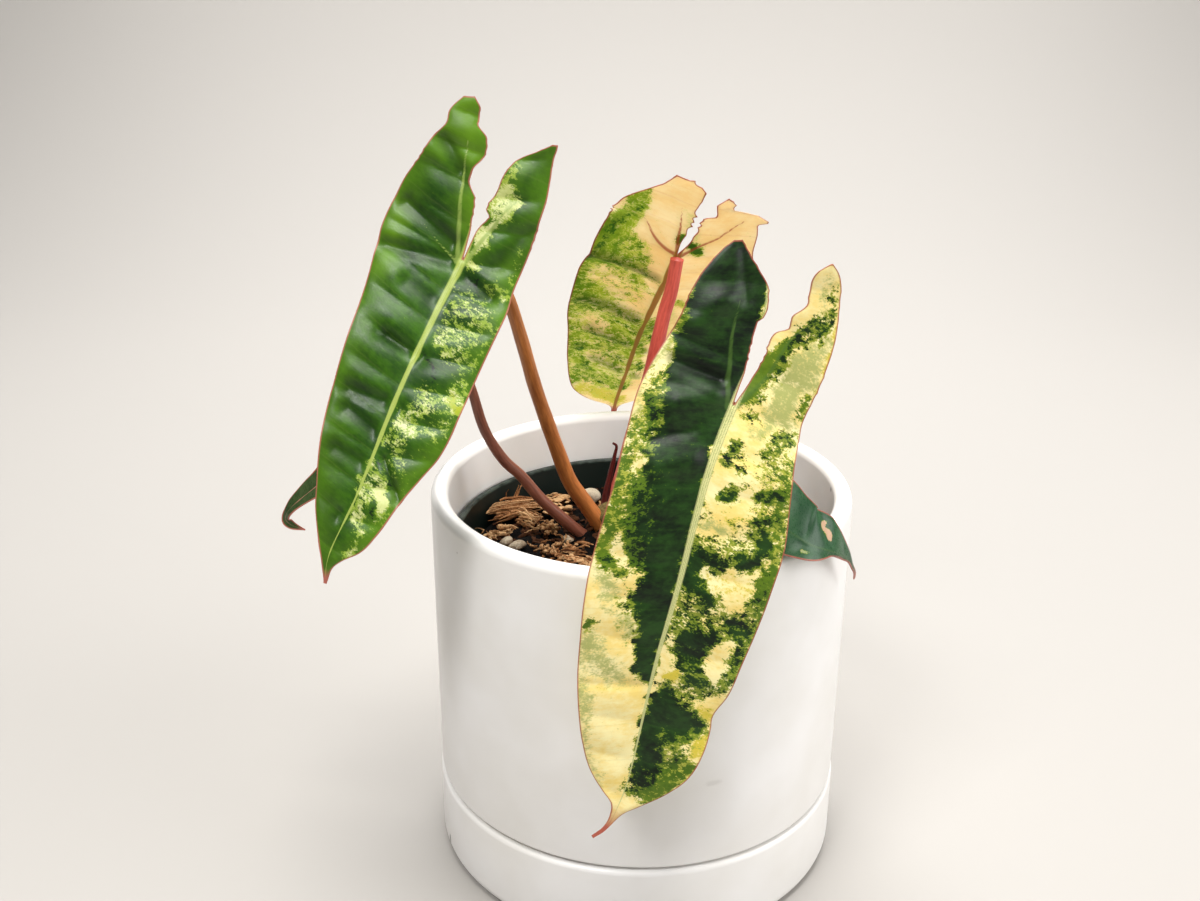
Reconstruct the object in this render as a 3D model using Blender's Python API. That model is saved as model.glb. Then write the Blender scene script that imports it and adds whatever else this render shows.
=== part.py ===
"""A potted variegated philodendron: five arrow-shaped leaves on round stalks, the sheath of a young leaf and
a short stem, in a bark potting mix, a thin plastic nursery pot, a white cylinder pot and its saucer.

Metres, +Z up. The origin is the middle of the saucer's underside, on the pots' common axis, and -Y is the
front. Every size below is the real one in millimetres, turned to metres as the meshes are made.
"""

import math
import random
from dataclasses import dataclass

import bmesh
import bpy
import numpy as np

MM = 0.001
GAP = 0.3

# White pot and saucer, radii and heights
POT_RADIUS = 77.5
POT_BORE = 71.0
POT_TOP = 147.5
POT_SHOULDER = 33.0
POT_FOOT_RADIUS = 69.5
POT_FOOT_WALL = 6.0
POT_FOOT_ROUND = 3.0
POT_SHOULDER_ROUND = 1.5
POT_INNER_SLOPE = 8.0
POT_FLOOR = 14.5
LIP_ROUND = 3.2
DRAIN_RADIUS = 7.0
SAUCER_RADIUS = 78.0
SAUCER_BORE = 71.5
SAUCER_TOP = 31.8
SAUCER_FLOOR = 7.5
SAUCER_HEEL_ROUND = 5.0
SAUCER_RIM_ROUND = 2.0
POT_SIDES = 48

# Nursery pot
NURSERY_TOP = 128.5
NURSERY_RADIUS = 69.7
NURSERY_FOOT_RADIUS = 53.0
NURSERY_WALL = 1.2
NURSERY_BAND = 7.0
NURSERY_BAND_STEP = 1.4
NURSERY_RIM_WIDTH = 2.6
NURSERY_RIM_BEVEL = 0.5
NURSERY_DRAIN_RADIUS = 5.0
NURSERY_DRAIN_RING = 38.0
NURSERY_DRAINS = 6
NURSERY_SIDES = 36

# Potting mix
MIX_TOP = 118.0
MIX_INSET = 1.8
MIX_UNEVEN = 1.4
MIX_RINGS = 5
MIX_SIDES = 30
CHIP_COUNT = 34
CHIP_LENGTHS = (9.0, 20.0)
CHIP_DEPTHS = (4.0, 6.0)
CHIP_EDGE_CLEARANCE = 16.0
CHIP_STEM_CLEARANCE = 7.0
CHIP_SEED = 11

# Stem, at the middle of the stalks
STEM_PLACE = (-11.0, 21.0)
STEM_RADIUS = 6.4
STEM_FOOT = 88.0
STEM_TOP = 128.0
STEM_SIDES = 20

# Stalks
STALK_SIDES = 10
STALK_STEP = 6.0
STALK_SEAM = (0.3, 1.0, 0.1)

# Blades
BLADE_THICKNESS = 0.8
COLUMN_SHARES = (0.0, 0.07, 0.36, 0.69, 1.0)
SPINE_STEPS = 40
RUFFLE_PITCH = 34.0
CURL_SPAN = 40.0
TIP_FADE = 25.0


@dataclass(frozen=True)
class Blade:
    """One leaf blade. Stations run along its spine from the sinus, below zero between the basal lobes.

    The plus half lies on the side of tangent x face. Widths are measured square to the spine.
    """

    name: str
    color: str
    spine: tuple
    sinus_index: int
    face_lobes: tuple
    face_tip: tuple
    plus_margin: tuple
    plus_notch: tuple
    minus_margin: tuple
    minus_notch: tuple
    cup: tuple = (0.20, 0.20)
    droop: float = 70.0
    lobe_curl: tuple = (0.0, 0.0)
    quilt: float = 0.8
    quilt_pitch: float = 11.0
    quilt_slant: float = -0.2
    ruffle: float = 0.8
    keel: float = 1.5
    row_step: float = 4.2


@dataclass(frozen=True)
class Stalk:
    """One leaf stalk: its path from inside the stem up to the sinus of its blade, and its two radii."""

    name: str
    color: str
    path: tuple
    foot_radius: float
    top_radius: float


BLADES = (
    Blade(
        name="blade_left",
        color="#3A6A22",
        spine=(
            (-46, -34, 290), (-49, -36, 269), (-54, -38, 253), (-59, -41, 239), (-67, -49, 224),
            (-78, -61, 202), (-90, -73, 174), (-99, -79, 156), (-101, -81, 146),
        ),
        sinus_index=3,
        face_lobes=(-0.10, -0.92, 0.36),
        face_tip=(-0.10, -0.92, 0.36),
        plus_margin=(
            (-51, 12), (-46.5, 15.8), (-42, 16.5), (-38, 19.7), (-26, 23.8), (-15, 27), (-4, 28.4), (5, 27.6),
            (15, 25.4), (28, 23.1), (44, 21.1), (56, 19.6), (70, 16.7), (81, 13.5), (88, 11), (98, 4.8),
            (103, 2), (110, 0.5),
        ),
        plus_notch=(
            (-51, 8.5), (-48, 6.2), (-43.5, 6.3), (-39, 2.7), (-34, 2.9), (-29, 5.6), (-25, 5.8), (-20, 2.2),
            (-12, 1.0), (0, 0),
        ),
        minus_margin=(
            (-40.5, 19.6), (-35, 18.7), (-25, 19.7), (-15, 20), (0, 19), (10, 20.6), (30, 20.7), (50, 21.1),
            (60, 19.9), (68, 17), (77, 14), (88, 11.6), (96, 8.9), (102, 4.1), (105, 2), (110, 0.5),
        ),
        minus_notch=(
            (-40.5, 17.5), (-38, 13.5), (-35.5, 8.5), (-31, 5), (-25, 3.7), (-18.5, 1.9), (-16, 3.7),
            (-13, 2), (-7, 0.6), (0, 0),
        ),
        quilt=1.3,
        lobe_curl=(-2.0, -1.0),
    ),
    Blade(
        name="blade_front",
        color="#6F8A35",
        spine=(
            (37, -62, 253), (36, -64, 233), (32, -67, 217), (25, -72, 202), (17, -81, 182), (9, -89, 150),
            (2, -93, 123), (-5, -97, 88), (-9.2, -99, 75), (-12.6, -101, 69.3), (-17, -103, 67),
        ),
        sinus_index=3,
        face_lobes=(0.05, -0.95, 0.30),
        face_tip=(0.05, -0.95, 0.30),
        plus_margin=(
            (-51.5, 12), (-48, 16.1), (-42, 21), (-38, 23), (-33, 24.6), (-24, 25.6), (-10, 26.8), (5, 28.2),
            (18, 26.8), (30, 26.6), (40, 27.3), (58, 27.7), (70, 26.7), (82, 24.6), (94, 22.6), (106, 19.7),
            (114, 17.2), (124, 12.6), (131, 6.4), (134, 2.6), (138, 1.2), (147, 0.5),
        ),
        plus_notch=(
            (-51.5, 9.5), (-44, 4.6), (-37, 0.6), (-28.5, 1.2), (-27, 2.6), (-18, 2.1), (-11, 1.2), (0, 0),
        ),
        minus_margin=(
            (-46.4, 16.4), (-44.2, 18.3), (-41.4, 19.6), (-35.5, 20.3), (-28, 21.2), (-17, 21.5), (-5, 21.7),
            (4, 23.4), (13, 25), (22, 26.8), (36, 29.1), (42, 29.4), (49, 28.7), (67, 27.6), (78, 26.2),
            (90, 24.6), (99, 21.6), (103, 22), (111, 21.3), (119.5, 18.4), (126, 13), (132, 6.4),
            (136.5, 2.4), (140, 1), (147, 0.5),
        ),
        minus_notch=(
            (-46.4, 15.7), (-43.5, 11.5), (-40, 10.2), (-35, 10.3), (-30.5, 6.6), (-27.6, 6.8), (-25.5, 3.3),
            (-18, 2.1), (-9, 1.4), (0, 0),
        ),
        cup=(0.15, 0.15),
        droop=80.0,
        quilt=0.7,
        quilt_pitch=13.0,
        quilt_slant=0.0,
        lobe_curl=(-3.0, 3.0),
    ),
    Blade(
        name="blade_back",
        color="#C9B765",
        spine=(
            (26, 30, 257), (24, 35, 247), (20, 41, 234), (14, 48, 221), (7, 68, 198), (1, 82, 179),
            (-4, 98, 157), (-8, 110, 140), (-9, 118, 131),
        ),
        sinus_index=3,
        face_lobes=(0.0, 0.80, 0.60),
        face_tip=(0.0, 0.72, 0.70),
        plus_margin=(
            (-29.5, 11.5), (-27, 12.5), (-25.8, 14), (-25.3, 22.3), (-22, 23.2), (-14.5, 25.5), (-9, 29.5),
            (2, 33), (20, 34.5), (37, 34), (56, 30.5), (77, 27), (94, 21), (100, 16), (106, 8), (109, 3),
            (116.5, 1),
        ),
        plus_notch=((-29.5, 9), (-27, 5.5), (-21, 5.8), (-19.5, 1), (-14, 1.8), (-9.5, 2.6), (0, 0)),
        minus_margin=(
            (-38.5, 13.5), (-32, 19), (-27, 25.5), (-22.5, 30.8), (-9, 34), (2, 34), (16, 35.2), (37, 34.7),
            (47, 33), (57, 30.3), (77, 27.1), (94, 23), (100, 19.5), (107, 10), (109, 4), (116.5, 1),
        ),
        minus_notch=(
            (-38.5, 8.3), (-36.8, 6.6), (-34.6, 4.7), (-33, 2.3), (-30.4, 1.3), (-26.5, 1.8), (-17, 0.5),
            (-12, 1.5), (0, 0),
        ),
        cup=(0.15, 0.15),
        droop=80.0,
        quilt=0.9,
        quilt_pitch=12.0,
        lobe_curl=(-2.0, -2.0),
    ),
    Blade(
        name="blade_right_low",
        color="#24431F",
        spine=(
            (10, -42, 166), (17, -44, 165), (24, -48, 163), (34, -54, 160), (46, -59, 154.5),
            (54, -60.5, 150), (62, -56, 145.5), (69, -47.5, 138.5), (73, -41, 131), (74, -38, 126.5),
        ),
        sinus_index=2,
        face_lobes=(0.15, -0.50, 0.85),
        face_tip=(0.45, -0.75, 0.45),
        plus_margin=(
            (-13, 8), (-8, 12), (0, 13), (12, 12.5), (22, 10), (30, 8), (34, 6.3), (37, 5), (41.5, 3.1),
            (46, 1.5), (57, 0.9), (75, 0.5),
        ),
        plus_notch=((-13, 5), (-8, 2), (0, 0)),
        minus_margin=(
            (-13, 8), (-8, 13), (0, 17), (10, 19.5), (19, 19), (27, 16), (36, 14.2), (44.5, 12.5),
            (50.5, 8.5), (57, 4.7), (65, 1.4), (75, 0.5),
        ),
        minus_notch=((-13, 5), (-8, 2), (0, 0)),
        cup=(0.0, 0.1),
        quilt=0.5,
        row_step=5.5,
    ),
    Blade(
        name="blade_left_low",
        color="#24431F",
        spine=(
            (-59, 8, 207), (-65, 4, 202), (-70, 0, 197), (-80, 0, 184), (-94, 2, 168), (-110, 5, 151),
            (-123, 8, 140), (-133, 10, 131), (-136, 11, 126), (-134, 11, 123), (-129, 11, 121),
        ),
        sinus_index=2,
        face_lobes=(-0.50, -0.50, 0.75),
        face_tip=(-0.40, -0.70, 0.50),
        plus_margin=(
            (-16, 8), (-8, 12), (0, 13), (20, 14), (40, 13), (60, 9.5), (77, 5.7), (83, 5.3), (91, 3.6),
            (96, 1.2), (107, 0.5),
        ),
        plus_notch=((-16, 5), (-8, 2), (0, 0)),
        minus_margin=(
            (-16, 8), (-8, 12), (0, 13), (20, 14), (40, 13), (60, 9.5), (77, 5.2), (83, 4.2), (91, 2.6),
            (96, 1.2), (107, 0.5),
        ),
        minus_notch=((-16, 5), (-8, 2), (0, 0)),
        quilt=0.5,
        row_step=5.5,
    ),
)

STALKS = (
    Stalk(
        name="stalk_left",
        color="#9C5C30",
        path=(
            (-11, 20, 114), (-16, 19, 122), (-21.2, 16.5, 131), (-26.8, 12, 142), (-31, 7, 156),
            (-34.8, 2, 170), (-38.8, -4, 186), (-42.4, -13, 205), (-46.4, -22, 223),
            (-51.6, -30, 234), (-58.7, -38.8, 238.1),
        ),
        foot_radius=3.2,
        top_radius=2.0,
    ),
    Stalk(
        name="stalk_front",
        color="#9C5C30",
        path=(
            (-11, 21, 116), (-8, 11, 126), (-2, -9, 147), (8, -34, 173), (18, -56, 194), (24.9, -69.4, 201.2),
        ),
        foot_radius=3.2,
        top_radius=2.1,
    ),
    Stalk(
        name="stalk_back",
        color="#B3423A",
        path=(
            (-12, 24, 110), (-11, 33, 123), (-8.6, 37, 133), (-4.8, 40, 148), (2.4, 43, 170),
            (9.2, 44.6, 197), (12, 44.6, 208), (13.9, 43.8, 220.5),
        ),
        foot_radius=3.1,
        top_radius=2.3,
    ),
    Stalk(
        name="stalk_right_low",
        color="#8A5040",
        path=((-11, 21, 110), (-3, 12, 120), (8, -6, 136), (16, -26, 152), (23.4, -46.4, 160.5)),
        foot_radius=2.6,
        top_radius=1.7,
    ),
    Stalk(
        name="stalk_left_low",
        color="#8A5040",
        path=(
            (-11, 20, 108), (-22, 15.5, 117.5), (-30, 13, 126), (-38, 11, 135), (-45, 9, 145), (-51, 7, 152),
            (-56, 5, 161), (-59, 4, 169), (-62, 2.5, 182), (-65, 1.5, 190), (-68.5, 1, 195),
        ),
        foot_radius=2.5,
        top_radius=1.7,
    ),
)

SHEATH = Stalk(
    name="new_leaf_sheath",
    color="#5A1F1C",
    path=(
        (-12, 24, 120), (-13, 27, 126), (-11.1, 29, 137), (-9.4, 30, 145), (-8.7, 30, 149),
        (-10.2, 30, 150.3),
    ),
    foot_radius=2.0,
    top_radius=0.45,
)


def smooth_through(points, wanted):
    """Values at the wanted stations of a smooth curve through (station, value) points, with no overshoot."""
    xs, ys = np.array(points, float).T
    steps = np.diff(xs)
    slopes = np.diff(ys) / steps
    tangents = np.concatenate([slopes[:1], (slopes[:-1] + slopes[1:]) / 2, slopes[-1:]])
    turning = np.concatenate([[False], slopes[:-1] * slopes[1:] <= 0, [False]])
    tangents[turning] = 0.0
    wanted = np.clip(wanted, xs[0], xs[-1])
    i = np.clip(np.searchsorted(xs, wanted, side="right") - 1, 0, len(steps) - 1)
    u = (wanted - xs[i]) / steps[i]
    near = (1 + 2 * u) * (1 - u) ** 2 * ys[i] + u * (1 - u) ** 2 * steps[i] * tangents[i]
    far = u * u * (3 - 2 * u) * ys[i + 1] - u * u * (1 - u) * steps[i] * tangents[i + 1]
    return near + far


def curve_through(places, per_span=SPINE_STEPS):
    """A dense smooth line through a few places, as Catmull-Rom spans."""
    p = np.array(places, float)
    p = np.vstack([2 * p[0] - p[1], p, 2 * p[-1] - p[-2]])
    u = np.linspace(0, 1, per_span, endpoint=False)[:, None]
    spans = []
    for a, b, c, d in zip(p[:-3], p[1:-2], p[2:-1], p[3:]):
        bend = u * (2 * a - 5 * b + 4 * c - d + u * (3 * (b - c) + d - a))
        spans.append(b + 0.5 * u * (c - a + bend))
    return np.vstack(spans + [p[-2:-1]])


def lengths_along(line):
    """Distance of each point of a line from its first point."""
    return np.concatenate([[0.0], np.cumsum(np.linalg.norm(np.diff(line, axis=0), axis=1))])


def unit(vectors):
    """The rows of an array at length one."""
    return vectors / np.linalg.norm(vectors, axis=-1, keepdims=True)


class Surface:
    """The middle surface of a blade, as a height over the ribbon that its spine and facing direction give."""

    def __init__(self, blade):
        self.blade = blade
        self.line = curve_through(blade.spine)
        along = lengths_along(self.line)
        self.stations = along - along[blade.sinus_index * SPINE_STEPS]
        self.end = self.stations[-1]
        tangent = unit(np.gradient(self.line, self.stations, axis=0))
        share = ((self.stations - self.stations[0]) / (self.end - self.stations[0]))[:, None]
        face = (1 - share) * np.array(blade.face_lobes) + share * np.array(blade.face_tip)
        self.side = unit(np.cross(tangent, face))
        self.normal = np.cross(self.side, tangent)

    def frame(self, s):
        """Spine points, side and face directions at stations s."""
        return [
            np.stack([np.interp(s, self.stations, rows[:, k]) for k in range(3)], -1)
            for rows in (self.line, self.side, self.normal)
        ]

    def rise(self, s, o, half):
        """Height over the ribbon at station s and offset o, from cup, droop, quilting and ruffle."""
        blade = self.blade
        margin = smooth_through(blade.plus_margin if half > 0 else blade.minus_margin, s)
        across = np.clip(o / np.maximum(margin, 1.0), 0, 1)
        fade = np.clip((self.end - s) / TIP_FADE, 0, 1)
        puff = np.abs(np.sin(math.pi * (s - blade.quilt_slant * o) / blade.quilt_pitch)) - 0.6
        quilt = blade.quilt * puff * np.sin(math.pi * np.clip(across, 0, 0.97)) * fade
        ruffle = blade.ruffle * across**3 * np.sin(2 * math.pi * s / RUFFLE_PITCH + 1.3 * half) * fade
        curl = blade.lobe_curl[0 if half > 0 else 1] * (np.clip(-s, 0, None) / CURL_SPAN) ** 2
        cup = blade.cup[0 if half > 0 else 1]
        return cup * o - o * o / (2 * blade.droop) + quilt + ruffle + curl

    def point(self, s, o, half):
        """Places on the surface at stations s and offsets o of one half, 1 or -1."""
        centre, side, normal = self.frame(s)
        return centre + half * side * o[:, None] + normal * self.rise(s, o, half)[:, None]

    def normals(self, s, o, half):
        """Directions square to the surface, on its upper face. On the midrib they are the ribbon's own."""
        step = 0.05
        along = self.point(s + step, o, half) - self.point(s - step, o, half)
        across = self.point(s, o + step, half) - self.point(s, o - step, half)
        found = unit(half * np.cross(across, along))
        found[o <= 0] = self.frame(s)[2][o <= 0]
        return found


def blade_rows(blade, surface, half):
    """Stations of the rows of one half, from the top of its lobe to the tip, and how many are in the lobe."""
    margin = blade.plus_margin if half > 0 else blade.minus_margin
    top = margin[0][0]
    lobe_rows = max(3, round(-top / blade.row_step))
    main_rows = max(8, round(surface.end / blade.row_step))
    lobe = np.linspace(top, 0, lobe_rows, endpoint=False)
    return np.concatenate([lobe, np.linspace(0, surface.end, main_rows + 1)]), lobe_rows


def blade_mesh(blade):
    """Vertices and triangles of a blade: two faces split alike, joined round every edge of the outline."""
    surface = Surface(blade)
    places, normals, keels, faces = [], [], [], []
    midrib = {}
    for half in (1, -1):
        margin = blade.plus_margin if half > 0 else blade.minus_margin
        notch = blade.plus_notch if half > 0 else blade.minus_notch
        stations, lobe_rows = blade_rows(blade, surface, half)
        inner = np.where(stations < 0, smooth_through(notch, stations), 0.0)
        outer = smooth_through(margin, stations)
        index = np.zeros((len(stations), len(COLUMN_SHARES)), int)
        for column, share in enumerate(COLUMN_SHARES):
            offset = inner + (outer - inner) * share
            points = surface.point(stations, offset, half)
            facing = surface.normals(stations, offset, half)
            for row, station in enumerate(stations):
                shared = column == 0 and row >= lobe_rows
                if shared and half < 0:
                    index[row, column] = midrib[row - lobe_rows]
                    continue
                index[row, column] = len(places)
                if shared:
                    midrib[row - lobe_rows] = len(places)
                places.append(points[row])
                normals.append(facing[row])
                keels.append(blade.keel * (1 - station / surface.end) if shared else 0.0)
        for a, b in zip(index[:-1], index[1:]):
            for k in range(len(COLUMN_SHARES) - 1):
                quad = (a[k], a[k + 1], b[k + 1], b[k])
                if half < 0:
                    quad = (a[k], b[k], b[k + 1], a[k + 1])
                faces.append((quad[0], quad[1], quad[2]))
                faces.append((quad[0], quad[2], quad[3]))
    return closed_sheet(np.array(places), np.array(normals), np.array(keels), faces)


def closed_sheet(places, normals, keels, faces):
    """A sheet of triangles given its thickness: an upper face, the same triangles below, and the edge."""
    half = BLADE_THICKNESS / 2
    upper = places + normals * half
    lower = places - normals * (half + keels)[:, None]
    count = len(places)
    edges = {(f[i], f[(i + 1) % 3]) for f in faces for i in range(3)}
    rim = [(a, b) for a, b in edges if (b, a) not in edges]
    solid = list(faces)
    solid += [(a + count, c + count, b + count) for a, b, c in faces]
    for a, b in sorted(rim):
        solid.append((b, a, a + count))
        solid.append((b, a + count, b + count))
    return np.vstack([upper, lower]), solid


def material(name, color, roughness, metallic=0.0):
    """A plain material with a colour written as sRGB hex."""
    made = bpy.data.materials.new(name)
    made.use_nodes = True
    shader = made.node_tree.nodes["Principled BSDF"]
    channels = [int(color[i : i + 2], 16) / 255 for i in (1, 3, 5)]
    linear = [c / 12.92 if c <= 0.04045 else ((c + 0.055) / 1.055) ** 2.4 for c in channels]
    shader.inputs["Base Color"].default_value = (*linear, 1.0)
    shader.inputs["Roughness"].default_value = roughness
    shader.inputs["Metallic"].default_value = metallic
    return made


def add_object(name, mesh, finish):
    """Links a mesh to the scene under a name, smooth but for sharp edges, with its material."""
    made = bpy.data.objects.new(name, mesh)
    bpy.context.scene.collection.objects.link(made)
    mesh.materials.append(finish)
    mesh.shade_smooth()
    mesh.set_sharp_from_angle(angle=math.radians(40))
    return made


def mesh_from(name, places, faces):
    """A mesh in metres from places in millimetres."""
    made = bpy.data.meshes.new(name)
    corners = [tuple(map(int, face)) for face in faces]
    made.from_pydata([tuple(p * MM for p in place) for place in places], [], corners)
    made.update()
    return made


def arc(centre, radius, start, end, steps):
    """Points of an arc in a turned profile, from one angle to another in degrees."""
    angles = np.radians(np.linspace(start, end, steps + 1))
    return [(centre[0] + radius * math.cos(a), centre[1] + radius * math.sin(a)) for a in angles]


def turned(name, profile, sides, finish, axis=(0.0, 0.0), closed_loop=False):
    """A solid turned round the vertical line at axis. An open profile starts and ends on that line."""
    bm = bmesh.new()
    rim = [bm.verts.new((r * MM, 0.0, z * MM)) for r, z in profile]
    pairs = list(zip(rim[:-1], rim[1:]))
    if closed_loop:
        pairs.append((rim[-1], rim[0]))
    edges = [bm.edges.new(pair) for pair in pairs]
    bmesh.ops.spin(
        bm, geom=rim + edges, cent=(0, 0, 0), axis=(0, 0, 1), angle=2 * math.pi, steps=sides, use_merge=True
    )
    bmesh.ops.remove_doubles(bm, verts=bm.verts, dist=0.00001)
    bmesh.ops.recalc_face_normals(bm, faces=bm.faces)
    bmesh.ops.translate(bm, verts=bm.verts, vec=(axis[0] * MM, axis[1] * MM, 0))
    mesh = bpy.data.meshes.new(name)
    bm.to_mesh(mesh)
    bm.free()
    return add_object(name, mesh, finish)


def add_saucer():
    """The saucer: a flat-bottomed dish as wide as the pot, with a rounded heel and rim."""
    heel = (SAUCER_RADIUS - SAUCER_HEEL_ROUND, SAUCER_HEEL_ROUND)
    half_wall = (SAUCER_RADIUS - SAUCER_BORE) / 2
    rim = SAUCER_RIM_ROUND
    profile = [(0, 0)]
    profile += arc(heel, SAUCER_HEEL_ROUND, -90, 0, 5)
    profile += arc((SAUCER_RADIUS - rim, SAUCER_TOP - rim), rim, 0, 90, 3)
    profile += arc((SAUCER_BORE + rim, SAUCER_TOP - rim), rim, 90, 180, 3)
    profile += arc((SAUCER_BORE - half_wall, SAUCER_FLOOR + half_wall), half_wall, 0, -90, 3)
    profile += [(0, SAUCER_FLOOR)]
    return turned("saucer", profile, POT_SIDES, material("saucer_ceramic", "#F1EFEC", 0.35))


def add_outer_pot():
    """The white pot: a straight wall with a rounded lip, and a narrower foot with a drain hole."""
    foot = SAUCER_FLOOR + GAP
    inner_foot = POT_FOOT_RADIUS - POT_FOOT_WALL
    bend = POT_SHOULDER_ROUND
    profile = [(DRAIN_RADIUS, foot), (POT_FOOT_RADIUS - POT_FOOT_ROUND, foot)]
    profile += [(POT_FOOT_RADIUS, foot + POT_FOOT_ROUND), (POT_FOOT_RADIUS, POT_SHOULDER)]
    profile += arc((POT_RADIUS - bend, POT_SHOULDER + bend), bend, -90, 0, 2)
    profile += arc((POT_RADIUS - LIP_ROUND, POT_TOP - LIP_ROUND), LIP_ROUND, 0, 90, 4)
    profile += arc((POT_BORE + LIP_ROUND, POT_TOP - LIP_ROUND), LIP_ROUND, 90, 180, 4)
    profile += [(POT_BORE, POT_SHOULDER + POT_INNER_SLOPE), (inner_foot, POT_SHOULDER)]
    profile += [(inner_foot, POT_FLOOR), (DRAIN_RADIUS, POT_FLOOR)]
    glaze = material("white_ceramic", "#F4F2EF", 0.4)
    return turned("outer_pot", profile, POT_SIDES, glaze, closed_loop=True)


def nursery_radius(height):
    """Outer radius of the nursery pot's tapering wall at a height."""
    foot = POT_FLOOR + GAP
    below_band = NURSERY_RADIUS - NURSERY_BAND_STEP
    share = (height - foot) / (NURSERY_TOP - foot)
    return NURSERY_FOOT_RADIUS + (below_band - NURSERY_FOOT_RADIUS) * share


def add_nursery_pot():
    """The nursery pot: a thin tapering wall with a stepped band under its rim, and a pierced floor."""
    foot = POT_FLOOR + GAP
    band = NURSERY_TOP - NURSERY_BAND
    bevel = NURSERY_RIM_BEVEL
    bore = NURSERY_RADIUS - NURSERY_RIM_WIDTH
    profile = [(NURSERY_DRAIN_RADIUS, foot), (NURSERY_FOOT_RADIUS, foot), (nursery_radius(band), band)]
    profile += [(NURSERY_RADIUS, band + 1), (NURSERY_RADIUS, NURSERY_TOP - bevel)]
    profile += [(NURSERY_RADIUS - bevel, NURSERY_TOP), (bore + bevel, NURSERY_TOP)]
    profile += [(bore, NURSERY_TOP - bevel)]
    profile += [(NURSERY_FOOT_RADIUS - NURSERY_WALL, foot + NURSERY_WALL)]
    profile += [(NURSERY_DRAIN_RADIUS, foot + NURSERY_WALL)]
    pot = turned(
        "nursery_pot", profile, NURSERY_SIDES, material("nursery_plastic", "#1B211D", 0.45), closed_loop=True
    )
    low, high = foot - NURSERY_WALL, foot + 3 * NURSERY_WALL
    drain = [(0, low), (NURSERY_DRAIN_RADIUS, low), (NURSERY_DRAIN_RADIUS, high), (0, high)]
    for k in range(NURSERY_DRAINS):
        angle = 2 * math.pi * k / NURSERY_DRAINS
        place = (NURSERY_DRAIN_RING * math.cos(angle), NURSERY_DRAIN_RING * math.sin(angle))
        cut(pot, turned(f"drain_cutter_{k}", drain, 8, pot.data.materials[0], place))
    return pot


def hide_guide(guide):
    """Keeps a cutter out of the model."""
    guide.hide_render = True
    guide.display_type = "WIRE"


def cut(target, cutter, solver="EXACT"):
    """Cuts one object from another with a Boolean, which stays on the object."""
    hide_guide(cutter)
    modifier = target.modifiers.new(f"cut_{cutter.name}", "BOOLEAN")
    modifier.operation = "DIFFERENCE"
    modifier.solver = solver
    modifier.object = cutter


def chip_mesh(rng, bm, place, size, turn, tilt):
    """One rough husk chip: a bent block with uneven corners, set at a place in the mix."""
    length, width, depth = size
    stations = (-0.5, 0.0, 0.5)
    bend = rng.uniform(-0.12, 0.12) * length
    rings = []
    for station in stations:
        taper = 1.0 - 1.4 * station * station
        ring = []
        for across, up in ((-0.5, -0.5), (0.5, -0.5), (0.5, 0.5), (-0.5, 0.5)):
            x = station * length + rng.uniform(-0.6, 0.6)
            y = across * width * taper * rng.uniform(0.75, 1.2)
            z = up * depth * taper * rng.uniform(0.75, 1.2) + bend * (1 - 4 * station * station)
            x, z = x * math.cos(tilt) - z * math.sin(tilt), x * math.sin(tilt) + z * math.cos(tilt)
            x, y = x * math.cos(turn) - y * math.sin(turn), x * math.sin(turn) + y * math.cos(turn)
            ring.append(bm.verts.new(((x + place[0]) * MM, (y + place[1]) * MM, (z + place[2]) * MM)))
        rings.append(ring)
    bm.faces.new(rings[0][::-1])
    bm.faces.new(rings[-1])
    for a, b in zip(rings[:-1], rings[1:]):
        for k in range(4):
            bm.faces.new((a[k], a[(k + 1) % 4], b[(k + 1) % 4], b[k]))


def add_mix_body():
    """The packed potting mix: a frustum that fills the nursery pot, with an uneven top."""
    rng = random.Random(CHIP_SEED)
    foot = POT_FLOOR + GAP + NURSERY_WALL + GAP
    inset = NURSERY_WALL + MIX_INSET
    outer = nursery_radius(MIX_TOP) - inset
    profile = [(0, foot), (nursery_radius(foot) - inset, foot)]
    profile += [(outer * (1 - k / MIX_RINGS), MIX_TOP) for k in range(MIX_RINGS + 1)]
    body = turned("potting_mix", profile, MIX_SIDES, material("bark_mix", "#6B4A33", 0.9))
    for vertex in body.data.vertices:
        reach = math.hypot(vertex.co.x, vertex.co.y) / MM
        if vertex.co.z > (MIX_TOP - 1) * MM and reach < outer - 1:
            vertex.co.z += rng.uniform(-MIX_UNEVEN, MIX_UNEVEN) * MM
    return body


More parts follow.
